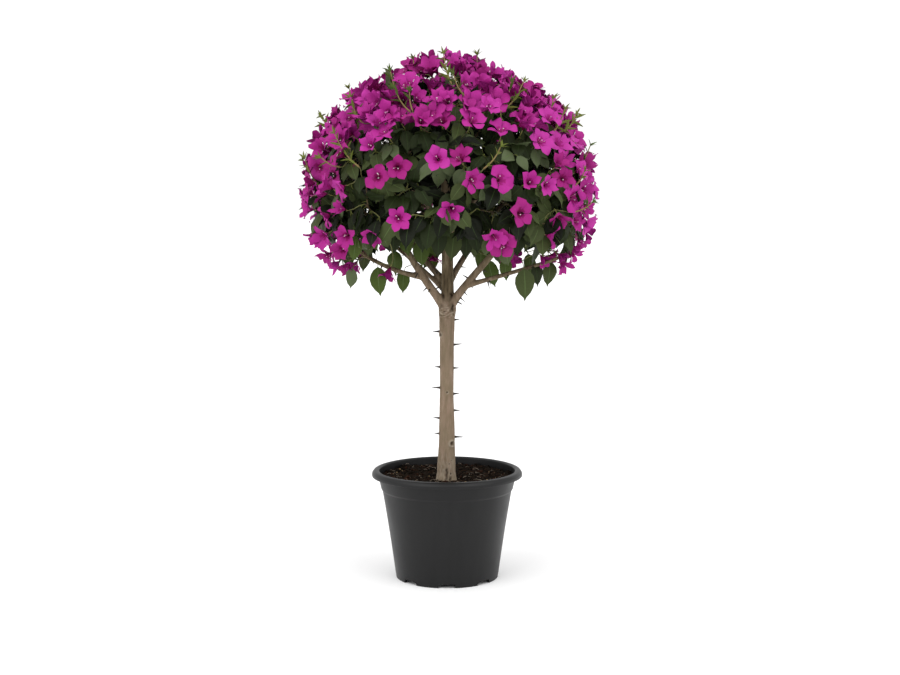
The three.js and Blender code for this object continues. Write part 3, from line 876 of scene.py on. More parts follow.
def make_fibres(rng):
    """Short bent fibres that lie on the compost."""
    fibres = Joined()
    for _ in range(FIBRE_COUNT):
        place = soil_place(rng, FIBRE_REACH)
        length = 0.005 + 0.016 * rng.random() ** 1.5
        heading = heading_vector(rng.random() * 360)
        side = np.cross(UP, heading)
        bend, lift = rng.normal() * 0.35, 0.0008 + 0.0022 * rng.random()
        shares = np.linspace(-0.5, 0.5, 6)
        line = [place + (heading * t + side * bend * t * t * 2) * length for t in shares]
        line = [point + UP * lift * (1.2 - 4 * t * t) for point, t in zip(line, shares)]
        fibres.add(*tube(line, [0.00022 + 0.00022 * rng.random()] * 6, 4), int(rng.choice(2, p=[0.7, 0.3])))
    materials = [compost_material(*look) for look in FIBRE_LOOKS]
    place_piece(fibres.piece("compost_fibres", materials), "compost")


# Trunk and boughs


def trunk_at(z):
    """Radius and lean of the trunk at a height."""
    for below, above in zip(TRUNK_STATIONS, TRUNK_STATIONS[1:]):
        if z <= above[0] or above is TRUNK_STATIONS[-1]:
            share = smoothstep(z, below[0], above[0])
            return lerp((below[1], above[1]), share), lerp((below[2], above[2]), share)


def trunk_skin(heading, z, share=1.0):
    """The point of the trunk's skin with a heading and a height, or one at a share of its radius."""
    radius, lean = trunk_at(z)
    return heading_vector(heading) * radius * share + np.array([lean, 0, z])


def smooth_line(points, step):
    """A Catmull-Rom curve through points, in even steps."""
    points = np.asarray(points, float)
    padded = np.vstack([2 * points[0] - points[1], points, 2 * points[-1] - points[-2]])
    line = []
    for before, start, end, after in zip(padded, padded[1:], padded[2:], padded[3:]):
        for t in np.arange(0, 1, step / np.linalg.norm(end - start)):
            bent = (2 * before - 5 * start + 4 * end - after) * t**2
            bent += (3 * start - before - 3 * end + after) * t**3
            line.append(0.5 * (2 * start + (end - before) * t + bent))
    line.append(points[-1])
    return np.array(line)


def limb_lines():
    """The middle line and the radii of the trunk and of every bough."""
    foot, head = TRUNK_STATIONS[0][0], TRUNK_STATIONS[-1][0]
    heights = np.linspace(foot, head, round((head - foot) / LIMB_STEP))
    radii, leans = np.array([trunk_at(z) for z in heights]).T
    limbs = {"trunk": (np.stack([leans, np.zeros(len(heights)), heights], 1), radii)}
    for name, (parent, at, headings, rises, length, radius) in BOUGHS.items():
        parent_line = limbs[parent][0]
        points = [parent_line[np.argmin(abs(parent_line[:, 2] - at))]]
        for step in range(BOUGH_STEPS):
            share = (step + 0.5) / BOUGH_STEPS
            way = sloping(lerp(headings, share), lerp(rises, share))
            points.append(points[-1] + way * length / BOUGH_STEPS)
        line = smooth_line(points, LIMB_STEP)
        along = np.linspace(0, 1, len(line))
        collar = 1 + COLLAR_SWELL * np.exp(-((along * length / COLLAR_LENGTH) ** 2))
        limbs[name] = (line, lerp(radius, along) * collar)
    return limbs


def bark_relief(point, strength):
    """How far the bark stands out at a point, how dark it is there from scars and painted shade, and how
    pale from calluses and painted light.
    """
    x, y, z = point
    ridges = noise.noise(Vector((x * 210, y * 210, z * 26)))
    grain = noise.noise(Vector((x * 480, y * 480, z * 130)))
    wrinkle = noise.noise(Vector((x * 190, y * 190, z * 420)))
    collar = math.exp(-(((z - FORK_COLLAR[0]) / FORK_COLLAR[1]) ** 2))
    relief = (0.00026 * ridges + 0.00018 * grain) * strength + 0.0013 * collar * wrinkle
    # Painted shade in the collar's wrinkle hollows
    scar_and_painted_shade = 0.9 * collar * min(max(-0.1 - 2.0 * wrinkle, 0.0), 1.0)
    # Painted light on the collar's wrinkle crests
    callus_and_painted_light = 0.6 * collar * min(max(2.4 * wrinkle, 0.0), 1.0)
    # Paler towards the trunk's foot: painted light
    callus_and_painted_light = max(callus_and_painted_light, 0.45 * (1 - smoothstep(z, 0.20, 0.26)) * (0.6 + grain))
    for heading, height, width, depth in KNOTS:
        if abs(z - height) <= 3 * width:
            distance = np.linalg.norm(point - trunk_skin(heading, height)) / width
            swelling = math.exp(-(((distance - 0.95) / 0.32) ** 2))
            pit = math.exp(-((distance / 0.62) ** 2))
            relief += depth * (0.9 * swelling - 1.1 * pit)
            scar_and_painted_shade = max(scar_and_painted_shade, pit)
            callus_and_painted_light = max(callus_and_painted_light, 0.8 * swelling * (0.8 + grain))
    for heading, low, high, width, depth in SPLITS:
        if low - 0.004 < z < high + 0.004:
            edge = trunk_skin(heading, z)
            distance = math.hypot(x - edge[0] - 0.0006 * math.sin(z * 700), y - edge[1]) / width
            ends = smoothstep(z, low - 0.003, low + 0.003) * (1 - smoothstep(z, high - 0.003, high + 0.003))
            relief -= depth * ends * math.exp(-(distance**2))
            # Dark along the split; at the fork's crotches this is painted shade
            scar_and_painted_shade = max(scar_and_painted_shade, ends * math.exp(-((distance / 1.1) ** 2)))
    return relief, scar_and_painted_shade, callus_and_painted_light


def with_lobes(points, line):
    """The trunk's round rings, with three lobes that wind slowly up it."""
    middle = np.repeat(line, LIMB_SIDES, axis=0)
    angle = np.arctan2(points[:, 1] - middle[:, 1], points[:, 0] - middle[:, 0])
    lobed = 1 + 0.05 * np.sin(3 * angle + middle[:, 2] / 0.060)
    points = middle + (points - middle) * lobed[:, None]
    points[:, 2] = middle[:, 2]
    return points


def fused_limbs(limbs):
    """Trunk and boughs as one smooth skin."""
    rough = Joined()
    for name, (line, radii) in limbs.items():
        points, faces = tube(line, radii, LIMB_SIDES)
        rough.add(with_lobes(points, line) if name == "trunk" else points, faces)
    piece = rough.piece("bark", [bark_material()])
    fuse = piece.modifiers.new("fuse", "REMESH")
    fuse.mode, fuse.voxel_size = "VOXEL", BARK_VOXEL
    fuse.use_smooth_shade = True
    soften = piece.modifiers.new("soften", "SMOOTH")
    soften.factor, soften.iterations = 0.5, 5
    with_modifiers(piece)
    return piece


def vertex_values(mesh, name):
    """A vector of every vertex, one to a row."""
    values = np.empty(len(mesh.vertices) * 3)
    mesh.vertices.foreach_get(name, values)
    return values.reshape(-1, 3)


def make_bark(limbs):
    """Trunk and boughs in one skin, with knots, splits and streaky relief, and how young the bark is."""
    piece = fused_limbs(limbs)
    mesh = piece.data
    places, normals = vertex_values(mesh, "co"), vertex_values(mesh, "normal")
    height, off_trunk = places[:, 2], np.hypot(places[:, 0], places[:, 1])
    strengths = np.where(off_trunk > 0.03, 0.55, 1.0)
    marks = np.array([bark_relief(place, strength) for place, strength in zip(places, strengths)])
    youth = np.clip((height - 0.50) / 0.10, 0, 1) * np.clip(0.25 + off_trunk / 0.14, 0, 1)
    leader = (off_trunk < 0.016) & (height > 0.52)
    youth = np.where(leader, np.clip((height - 0.515) / 0.03, 0, 0.9), youth)
    mesh.vertices.foreach_set("co", (places + normals * marks[:, :1]).ravel())
    for name, values in (("scar_and_painted_shade", marks[:, 1]), ("callus_and_painted_light", marks[:, 2]), ("youth", youth)):
        attribute = mesh.attributes.new(name, "FLOAT", "POINT")
        attribute.data.foreach_set("value", values.astype(np.float32))
    mesh.update()
    place_piece(piece, "bark", "trunk", *BOUGHS)


def thorn(base, way, length, width):
    """A thorn that tapers from a broad foot to a point, bent a little downwards."""
    line = [base + way * length * t - UP * length * 0.03 * t * t for t in (-0.12, 0.12, 0.4, 0.72, 1.0)]
    return tube(line, [width, width * 0.76, width * 0.50, width * 0.32, width * 0.08], 6)


def make_thorns(limbs, rng):
    """Thorns on the trunk and on the boughs: those that show in the photograph, and others by rule."""
    thorns = Joined()
    backs = []
    for _ in range(BACK_THORN_COUNT):
        backs.append((rng.uniform(60, 120), rng.uniform(0.24, 0.49), rng.uniform(0.008, 0.014)))
    for heading, height, length in TRUNK_THORNS + backs:
        way = unit(heading_vector(heading) + UP * rng.uniform(-0.02, 0.17))
        base = trunk_skin(heading, height, 0.92)
        thorns.add(*thorn(base, way, length * TRUNK_THORN_SHARE, TRUNK_THORN_WIDTH))
    for name, share, heading, rise, length in BOUGH_THORNS:
        line, radii = limbs[name]
        index = round(share * (len(line) - 1))
        way = sloping(heading, rise)
        thorns.add(*thorn(line[index] + way * radii[index] * 0.85, way, length, SHOWN_THORN_WIDTH))
    for name in BOUGHS:
        line, radii = limbs[name]
        stride = round(BOUGH_THORN_SPACING / LIMB_STEP)
        for index in range(4 + int(rng.integers(stride)), len(line) - 2, stride):
            along = unit(line[index + 1] - line[index - 1])
            out = across(along, scattered(rng, 1.0) - UP * 0.8)
            base = line[index] + out * radii[index] * 0.85
            way = unit(out + along * rng.uniform(0.0, 0.5))
            thorns.add(*thorn(base, way, rng.uniform(0.008, 0.014), BOUGH_THORN_WIDTH))
    material = plant_material("thorn", (54, 47, 41), THORN)
    place_piece(thorns.piece("thorns", [material]), "bark")


# The crown's outline and its twigs


def outline_measure(points):
    """Where points lie: under 1 inside the crown's outline, 1 on it and over 1 outside."""
    offset = np.atleast_2d(points) - CROWN_MIDDLE
    dome = offset[:, 2] > 0
    power = np.where(dome, DOME_POWER, BOWL_POWER)
    level = abs(offset[:, 2]) / np.where(dome, CROWN_RISE, CROWN_DROP)
    out = np.hypot(offset[:, 0], offset[:, 1]) / CROWN_RADIUS
    return (level**power + out**power) ** (1 / power)


def outward(point):
    """The way out of the crown at a point."""
    offset = point - CROWN_MIDDLE
    rise = CROWN_RISE if offset[2] > 0 else CROWN_DROP * 1.25
    return unit(offset / np.array([CROWN_RADIUS, CROWN_RADIUS, rise]) ** 2)


def kept_inside(place, radius):
    """The same place, or one nearer the crown's middle from which a bloom stays inside the outline."""
    sunk = BLOOM_TOP_SINK * smoothstep(place[2], 0.87, 0.95)
    limit = 1 - BLOOM_ROOM * radius / CROWN_RADIUS - sunk
    measure = outline_measure(place)[0]
    return place if measure < limit else CROWN_MIDDLE + (place - CROWN_MIDDLE) * limit / measure


def on_front(x, z, depth):
    """The point of the crown's front with this x and z, so far inside its outline."""
    place = np.array([x, 0.0, z])
    for y in np.linspace(-CROWN_RADIUS, -0.02, 120):
        place[1] = y
        if outline_measure(place)[0] < 1 - depth / CROWN_RADIUS:
            break
    return place


def in_order(points):
    """The order of points by their rounded places, so that it doesn't depend on how they were listed."""
    return np.lexsort(np.round(points, 4).T)


def mass_points(frame, rng):
    """Random points on the faces of the CAD masses, evenly by area."""
    corners = []
    for name, node in frame["nodes"].items():
        if name.startswith("mass_"):
            mesh = node.data
            mesh.calc_loop_triangles()
            places = np.array([vertex.co for vertex in mesh.vertices])
            triangles = places[np.array([triangle.vertices for triangle in mesh.loop_triangles])]
            corners += [triangle[in_order(triangle)] for triangle in triangles]
    corners = np.array(corners)
    corners = corners[in_order(corners.mean(1))]
    first, second, third = corners[:, 0], corners[:, 1], corners[:, 2]
    areas = np.linalg.norm(np.cross(second - first, third - first), axis=1)
    picked = rng.choice(len(corners), CANDIDATE_COUNT, p=areas / areas.sum())
    split = rng.random((CANDIDATE_COUNT, 2))
    split[split.sum(1) > 1] = 1 - split[split.sum(1) > 1]
    sides = (second - first)[picked] * split[:, :1] + (third - first)[picked] * split[:, 1:]
    return first[picked] + sides


def spaced(candidates, spacing, taken=()):
    """The candidates that keep their distance, a table by height, from each other and from the places
    already taken."""
    kept = []
    for place in candidates:
        gap = from_table(spacing, place[2])
        others = kept + list(taken)
        if not others or np.linalg.norm(np.array(others) - place, axis=1).min() > gap:
            kept.append(place)
    return kept


class Growth:
    """Twigs that grow one after another, each from a limb or an older twig further inside the crown."""

    def __init__(self, limbs):
        self.places = []
        self.ways = []
        self.parents = []
        self.twigs = []
        for name, (line, _) in limbs.items():
            first = np.argmax(line[:, 2] > LOWEST_LEADER_TWIG) if name == "trunk" else len(line) // 3
            ways = np.gradient(line, axis=0)
            for place, way in zip(line[first::2], ways[first::2]):
                self.add_point(place, way, -1)

    def add_point(self, place, way, parent):
        self.places.append(place)
        self.ways.append(unit(way))
        self.parents.append(parent)

    def best_start(self, tip):
        """Which point a twig to a tip starts from, near it and further inside, and how far off it is."""
        places, ways = np.array(self.places), np.array(self.ways)
        gaps = tip - places
        reach = np.linalg.norm(gaps, axis=1)
        forward = (gaps * ways).sum(1) / np.maximum(reach, 1e-6)
        outer = outline_measure(places) > outline_measure(tip)[0] - 0.25 * reach / CROWN_RADIUS
        cost = reach * (1.7 - 0.7 * forward) + np.where(outer, 0.12, 0) + np.where(reach < 0.014, 0.1, 0)
        best = int(np.argmin(cost))
        return best, reach[best]

    def grow(self, tip, way):
        """Grows one twig to a tip that it reaches along the given way, and returns its middle line."""
        parent, length = self.best_start(tip)
        start = self.places[parent]
        leave = unit(unit(tip - start) + 0.6 * self.ways[parent])
        handles = (start, start + leave * length * 0.35, tip - way * length * 0.30, tip)
        steps = max(3, math.ceil(length / TWIG_STEP))
        line = [start]
        for step in range(1, steps + 1):
            t = step / steps
            weights = ((1 - t) ** 3, 3 * t * (1 - t) ** 2, 3 * t * t * (1 - t), t**3)
            line.append(sum(weight * handle for weight, handle in zip(weights, handles)))
        indexes = [parent]
        for before, place in zip(line, line[1:]):
            self.add_point(place, place - before, indexes[-1])
            indexes.append(len(self.places) - 1)
        self.twigs.append(indexes)
        return np.array(line)

    def piece(self):
        """All twigs as tubes, each as thick as what it carries needs."""
        load = np.zeros(len(self.places))
        for indexes in self.twigs:
            load[indexes[-1]] += 1
        for index in range(len(self.places) - 1, -1, -1):
            if self.parents[index] >= 0:
                load[self.parents[index]] += load[index]
        radii = np.minimum(0.00085 * np.maximum(load, 1) ** 0.42, 0.0030)
        places = np.array(self.places)
        twigs = Joined()
        for indexes in self.twigs:
            own = np.concatenate([[radii[indexes[1]]], radii[indexes[1:]]])
            taper = np.linspace(1.12, 0.88, len(own))
            sides = 6 if own[0] > 0.0015 else 5
            twigs.add(*tube(places[indexes], own * taper, sides), int(own.mean() < GREEN_TWIG_R))
        return twigs.piece("twigs", [plant_material(*look) for look in TWIG_LOOKS])


# Leaves


def leaf_width(t):
    """Half width of a leaf at a share of its length, out of its greatest half width."""
    broad = np.sin(np.pi * t**0.72).clip(0) ** 0.9
    return np.where(t > 0.85, broad * 0.55, broad).clip(0.03)


def add_leaf(leaves, base, axis, normal, length, tone, rng):
    """One leaf blade from its base along an axis, its face towards a normal."""
    axis = unit(axis)
    normal = across(axis, normal)
    side = np.cross(axis, normal)
    t, u = np.meshgrid(LEAF_ROWS, LEAF_COLUMNS, indexing="ij")
    half = leaf_width(t) * length * LEAF_HALF_WIDTH * rng.uniform(0.9, 1.1)
    fold, arch = rng.uniform(0.10, 0.34), rng.uniform(0.05, 0.32)
    wave = rng.uniform(0, 0.06) * np.sin(9 * t + rng.uniform(0, 6)) * abs(u)
    sideways = rng.normal() * 0.06 * t * t * length
    lift = half * fold * abs(u) - half * 0.22 * u * u - arch * length * t * t + wave * length
    forward = t * length * (1 - 0.25 * arch * t)
    local = np.stack([u * half + sideways, forward, lift], -1).reshape(-1, 3)
    columns = len(LEAF_COLUMNS)
    # The darker rib goes with the darker tones, painted shade among them
    rib = LEAF_RIB_DARK if tone in (LEAF_SHADED, LEAF_DARK) else LEAF_RIB
    row_slots = [rib if column == columns // 2 - 1 else tone for column in range(columns - 1)]
    faces = grid_faces(len(LEAF_ROWS), columns)
    leaves.add(base + local @ np.array([side, axis, normal]), faces, row_slots * (len(LEAF_ROWS) - 1))


def add_stalked_leaf(leaves, foot, axis, normal, length, tone, rng):
    """A leaf with its short stalk."""
    stalk = length * rng.uniform(0.14, 0.24)
    rise = across(unit(axis), normal)
    blade = foot + unit(axis + 0.5 * rise) * stalk
    middle = (foot + blade) / 2 + rise * stalk * 0.15
    leaves.add(*tube([foot, middle, blade], [0.0009, 0.0007, 0.0007], 3, capped=False), LEAF_STALK)
    add_leaf(leaves, blade, axis, normal, length, tone, rng)


def leaf_tone(place, hanging, rng):
    """The colour a spray's leaves take: olive and brighter tones below, painted light where light comes
    through, and darker tones inside, painted shade.
    """
    if hanging:
        tones = [LEAF_BACKLIT, LEAF_GREEN, LEAF_BACKLIT]
    # Painted shade: darker tones for sprays deep inside the crown
    elif 1 - outline_measure(place)[0] > SHADED_DEPTH:
        tones = [LEAF_SHADED, LEAF_SHADED, LEAF_DARK]
    # Brighter tones below: painted light coming through the low leaves
    elif place[2] < LOW_LEAF_Z:
        tones = [LEAF_DARK, LEAF_GREEN, LEAF_GREEN, LEAF_BACKLIT]
    elif place[2] < MIDDLE_LEAF_Z:
        tones = [LEAF_SHADED, LEAF_SHADED, LEAF_DARK, LEAF_GREEN, LEAF_GREEN]
    else:
        # Above, the greyest tone is a painted sheen
        tones = [LEAF_SHADED, LEAF_DARK, LEAF_DARK, LEAF_GREEN, LEAF_SHEEN]
    return int(rng.choice(tones))


def point_behind(line, distance):
    """The place and way of a middle line, so far back from its tip."""
    index = len(line) - 1
    while index > 1 and np.linalg.norm(line[index] - line[index - 1]) < distance:
        distance -= np.linalg.norm(line[index] - line[index - 1])
        index -= 1
    way = unit(line[index] - line[index - 1])
    return line[index] - way * distance, way


def leaf_spray(leaves, line, count, droop, rng, hanging=False):
    """Leaves set alternately along the last stretch of a twig, and one at its tip."""
    tone = leaf_tone(line[-1], hanging, rng)
    turn = rng.uniform(0, 2 * math.pi)
    for index in range(count):
        behind = 0 if index == 0 else index * 0.011 + rng.uniform(-0.003, 0.003)
        place, way = point_behind(line, behind)
        aside = around(way, across(way, UP), turn)
        turn += GOLDEN_TURN
        spread_out = 0.35 if index == 0 else 0.95
        axis = unit(0.55 * way + spread_out * aside - UP * droop + scattered(rng, 0.25))
        normal = 0.9 * outward(place) + 0.45 * UP + scattered(rng, 0.75)
        length = from_table(LEAF_LENGTH, place[2]) * rng.uniform(0.80, 1.20)
        own = tone if rng.random() < 0.75 else leaf_tone(line[-1], hanging, rng)
        add_stalked_leaf(leaves, place, axis, normal, length, own, rng)


def leaf_whorl(leaves, centre, facing, count, rng):
    """Leaves that fan out and down from under a bloom."""
    # The greyest of these tones is a painted sheen
    tone = int(rng.choice([LEAF_DARK, LEAF_GREEN, LEAF_GREEN, LEAF_SHEEN]))
    start = rng.uniform(-0.3, 0.3)
    for index in range(count):
        turn = start + (index - (count - 1) / 2) * rng.uniform(0.85, 1.15)
        aside = around(facing, across(facing, -UP), turn)
        axis = unit(aside - 0.25 * UP - 0.25 * facing + scattered(rng, 0.30))
        normal = facing + 0.3 * UP + scattered(rng, 0.45)
        length = from_table(LEAF_LENGTH, centre[2]) * rng.uniform(0.85, 1.15)
        add_stalked_leaf(leaves, centre, axis, normal, length, tone, rng)


# Blooms


def petal_curve(length, start_angle, end_angle):
    """Distance from the bloom's axis and height along it of a petal's middle line, row by row."""
    angles = np.radians(lerp((start_angle, end_angle), PETAL_ROWS**PETAL_FLARE))
    steps = np.diff(PETAL_ROWS, prepend=0) * length
    return 0.0004 + np.cumsum(np.sin(angles) * steps), np.cumsum(np.cos(angles) * steps)


def petal_width(out, petals, bluntness):
    """Half width of a petal, row by row: up to its neighbours as far as the join, then a broad lobe."""
    beside = out * math.tan(math.pi / petals) * PETAL_OVERLAP
    free = ((PETAL_ROWS - PETAL_JOIN) / (1 - PETAL_JOIN)).clip(0)
    at_join = np.interp(PETAL_JOIN, PETAL_ROWS, beside)
    return np.where(free > 0, at_join * (1 - free**bluntness) * (1 + 0.26 * free), beside).clip(0.0003)


def petal_slots(tone):
    """The material slot of each face of a petal: a dark throat that is painted shade, then the inner tone,
    painted shade near the throat and darker veins further out.
    """
    slots = []
    for row in PETAL_ROWS[1:]:
        for column in range(len(PETAL_COLUMNS) - 1):
            vein = column in (1, 2) and row < 0.5
            # The throat tone and the inner tone near it are painted shade; further out the inner tone marks
            # the petal's own vein
            inner = BLOOM_THROAT_SHADE if row < 0.2 else BLOOM_TONES + tone
            slots.append(inner if row < 0.35 or vein else tone)
    return slots


def petal_points(index, petals, radius, bluntness, opening, rng):
    """The points of one petal, with the bloom's axis along Z."""
    reach = radius * rng.uniform(1.18, 1.42)
    out, height = petal_curve(reach, 18, opening + rng.normal() * 9)
    t, u = np.meshgrid(PETAL_ROWS, PETAL_COLUMNS, indexing="ij")
    half = petal_width(out, petals, bluntness)[:, None]
    cup, ruffle = rng.uniform(-0.12, 0.45), rng.uniform(0.04, 0.13)
    z = height[:, None] + half * cup * abs(u) ** 1.4
    z = z + reach * ruffle * np.sin(9 * t + rng.uniform(0, 6)) * u * t + 0.0009 * (index % 2) * t
    half = half * (1 + 0.07 * rng.normal(size=(len(PETAL_ROWS), 1)) * (t > PETAL_JOIN))
    twist = (index + rng.normal() * 0.06) * 2 * math.pi / petals
    x = out[:, None] * math.cos(twist) - u * half * math.sin(twist)
    y = out[:, None] * math.sin(twist) + u * half * math.cos(twist)
    return np.stack([x, y, z], -1).reshape(-1, 3)


def add_bloom(blooms, base, facing, radius, tone, rng, opening):
    """One bloom that faces a way, from the end of its stalk: petals that join into a throat and turn
    out by an opening in degrees, and the tiny true flowers inside."""
    petals = int(rng.choice([5, 6]))
    bluntness = rng.uniform(*PETAL_BLUNTNESS)
    first = across(facing, scattered(rng, 1.0))
    axes = np.array([first, np.cross(facing, first), facing])
    faces = grid_faces(len(PETAL_ROWS), len(PETAL_COLUMNS))
    for index in range(petals):
        points = petal_points(index, petals, radius, bluntness, opening, rng)
        blooms.add(base + points @ axes, faces, petal_slots(tone))
    for _ in range(int(rng.choice([1, 1, 2, 3]))):
        lean = unit(facing + scattered(rng, 0.45))
        eye = base + lean * radius * rng.uniform(0.50, 0.62)
        filament = tube([base, (base + eye) / 2, eye], [0.0007, 0.0005, 0.0006], 4, capped=False)
        blooms.add(*filament, BLOOM_FILAMENT)
        add_eye(blooms, eye, lean, rng)


def add_eye(blooms, place, facing, rng):
    """The small white star at the end of a true flower."""
    first = across(facing, scattered(rng, 1.0))
    points = [place]
    for index in range(10):
        reach = 0.0013 if index % 2 == 0 else 0.0007
        points.append(place + around(facing, first, index * math.pi / 5) * reach + facing * 0.0004)
    blooms.add(points, [(0, 1 + i, 1 + (i + 1) % 10) for i in range(10)], BLOOM_EYE)


def low_bloom(blooms, line, facing, rng):
    """A half-open bloom that hangs from the tip of a twig."""
    base = line[-1] + facing * 0.004
    blooms.add(*tube([line[-1] - facing * 0.002, base], [0.0010, 0.0009], 5), BLOOM_STALK)
    tone = int(rng.integers(BLOOM_TONES))
    add_bloom(blooms, base, facing, rng.uniform(*LOW_BLOOM_RADIUS), tone, rng, rng.uniform(44, 86))


def bloom_cluster(blooms, tip, facing, sizes, count, rng):
    """Blooms at the tip of a twig, each on its own stalk."""
    tone = int(rng.choice(BLOOM_TONES, p=[0.34, 0.30, 0.22, 0.14]))
    for _ in range(count):
        aside = across(facing, scattered(rng, 1.0))
        swing = 0 if count == 1 else 0.018 * (1 + 0.3 * rng.random())
        way = unit(facing + aside * (0.25 if count == 1 else 0.75))
        radius = rng.uniform(*sizes)
        base = kept_inside(tip + facing * rng.uniform(*BLOOM_STALK_LENGTH) + aside * swing, radius)
        bend = (tip + base) / 2 + facing * 0.002 - UP * 0.001
        stalk = tube([tip - facing * 0.002, bend, base - way * 0.001], [0.0010, 0.0009, 0.0009], 5)
        blooms.add(*stalk, BLOOM_STALK)
        own = tone if rng.random() < 0.7 else int(rng.integers(BLOOM_TONES))
        opening = rng.uniform(52, lerp((122, 98), smoothstep(tip[2], 0.78, 0.86)))
        add_bloom(blooms, base, way, radius, own, rng, opening)


# Young shoots


def add_shoot(shoots, base, tip, rng):
    """A young shoot: a stem with narrow leaves set along it and a tuft at its tip."""
    length = np.linalg.norm(tip - base)
    way = unit(tip - base)
    first = across(way, UP)
    sag = across(way, -UP) * length * 0.08
    shares = np.linspace(0, 1, 7)
    line = np.array([base + (tip - base) * t + sag * math.sin(math.pi * t) for t in shares])
    shoots.add(*tube(line, lerp((0.0016, 0.0009), shares), 5), SHOOT_STEM)
    tone = int(rng.integers(2))
    turn = rng.uniform(0, 2 * math.pi)
    for step in range(1, round(length / SHOOT_JOINT)):
        share = 1 - step * SHOOT_JOINT / length
        place = base + (tip - base) * share + sag * math.sin(math.pi * share)
        for _ in range(2):
            turn += GOLDEN_TURN
            axis = unit(way + around(way, first, turn) * rng.uniform(0.9, 1.6))
            own = SHOOT_RED if rng.random() < 0.10 else tone
            add_narrow_leaf(shoots, place, axis, way, rng.uniform(0.013, 0.024), own)
    for _ in range(6):
        turn += GOLDEN_TURN
        axis = unit(way + around(way, first, turn) * rng.uniform(0.35, 0.95))
        add_narrow_leaf(shoots, line[-1], axis, way, rng.uniform(0.010, 0.017), tone)


def add_narrow_leaf(shoots, base, axis, normal, length, tone):
    """A narrow, folded young leaf."""
    normal = across(axis, normal)
    side = np.cross(axis, normal)
    points = []
    for t, half in ((0.0, 0.04), (0.3, 0.12), (0.65, 0.10), (1.0, 0.01)):
        middle = base + axis * length * t - normal * length * 0.22 * t * t
        for u in (-1, 0, 1):
            points.append(middle + side * u * half * length + normal * abs(u) * half * length * 0.45)
    shoots.add(points, grid_faces(4, 3), tone)


# The whole crown


def part_of_front(points, furthest_back, half_width, top):
    """Which points lie in a part of the crown's front."""
    x, y, z = points.T
    return (y < furthest_back) & (abs(x) < half_width) & (z < top)


def crown_places(frame, rng):
    """Where each kind of spray goes: blooms, shoots, leaves on the skin, leaves inside, hanging leaves."""
    points = mass_points(frame, rng)
    measure = outline_measure(points)
    from_axis = np.hypot(points[:, 0], points[:, 1])
    height = points[:, 2]
    skin = measure > SKIN_MEASURE
    bloom_free = part_of_front(points, *BLOOM_FREE_FRONT)
    shoot_free = bloom_free | part_of_front(points, *SHOOT_FREE_FRONT)
    thinned = part_of_front(points, *THIN_FRONT) & (rng.random(len(points)) < THINNED_SHARE)
    closed = np.ones(len(points), dtype=bool)
    for x, z, radius in OPENINGS:
        closed &= np.hypot(points[:, 0] - x, height - z) > radius

    front = [on_front(*place, 0.0) for place in FRONT_BLOOMS]
    front_shoots = [on_front(*tip, -0.006) for tip, _ in FRONT_SHOOTS]
    flowering = skin & ~bloom_free & (height > LOWEST_BLOOM)
    leafy = points[skin & closed & ~thinned & (height > LOWEST_LEAF)]
    clear = [np.linalg.norm(np.array(front) - place, axis=1).min() > FRONT_BLOOM_GAP for place in leafy]
    inside = (measure > INNER_MEASURE[0]) & (measure < INNER_MEASURE[1])
    inside &= height > INNER_FLOOR_Z - INNER_FLOOR_FALL * (from_axis - INNER_FLOOR_R)
    low = skin & (height > HANGING_HEIGHTS[0]) & (height < HANGING_HEIGHTS[1])
    low &= (from_axis > HANGING_LEAST_R) & (points[:, 1] > HANGING_LEAST_Y)
    return {
        "inner": spaced(points[inside & closed], INNER_SPACING),
        "leafy": spaced(leafy[clear], LEAF_SPACING),
        "hanging": spaced(points[low], HANGING_SPACING),
        "bloom": spaced(points[flowering], BLOOM_SPACING, front),
        "front_bloom": front,
        "low_bloom": [np.array(place) for place in LOW_BLOOMS],
        "shoot": spaced(points[skin & ~shoot_free & (height > LOWEST_SHOOT)], SHOOT_SPACING, front_shoots),
    }


def spray_tip(kind, place):
    """Where the twig of a spray stops: a little inside the place that the spray fills."""
    sunk = TOP_LEAF_SINK * smoothstep(place[2], 0.80, 0.90) if kind == "leafy" else 0.0
    tip = place - outward(place) * (SPRAY_DEPTH[kind] + sunk)
    if kind in ("bloom", "front_bloom"):
        return kept_inside(tip, HIGH_BLOOM_RADIUS[1] + BLOOM_STALK_LENGTH[1])
    return tip


def bloom_facing(kind, place, rng):
    """The way a bloom looks: out, up on the shoulders, sideways at the top, and on the front forwards."""
    height = place[2]
    lift = BLOOM_LIFT * smoothstep(height, *SHOULDER) * (1 - smoothstep(height, *TOP)) * UP
    lift = lift + BLOOM_SPREAD * smoothstep(height, *TOP) * unit(place * np.array([1, 1, 0]))
    if kind == "bloom":
        return unit(outward(place) + lift - UP * 0.06 + scattered(rng, 0.60))
    pull = lerp((0.50, 0.0), smoothstep(height, 0.74, 0.84))
    return unit(outward(place) + lift + pull * heading_vector(FRONT) + scattered(rng, 0.42))


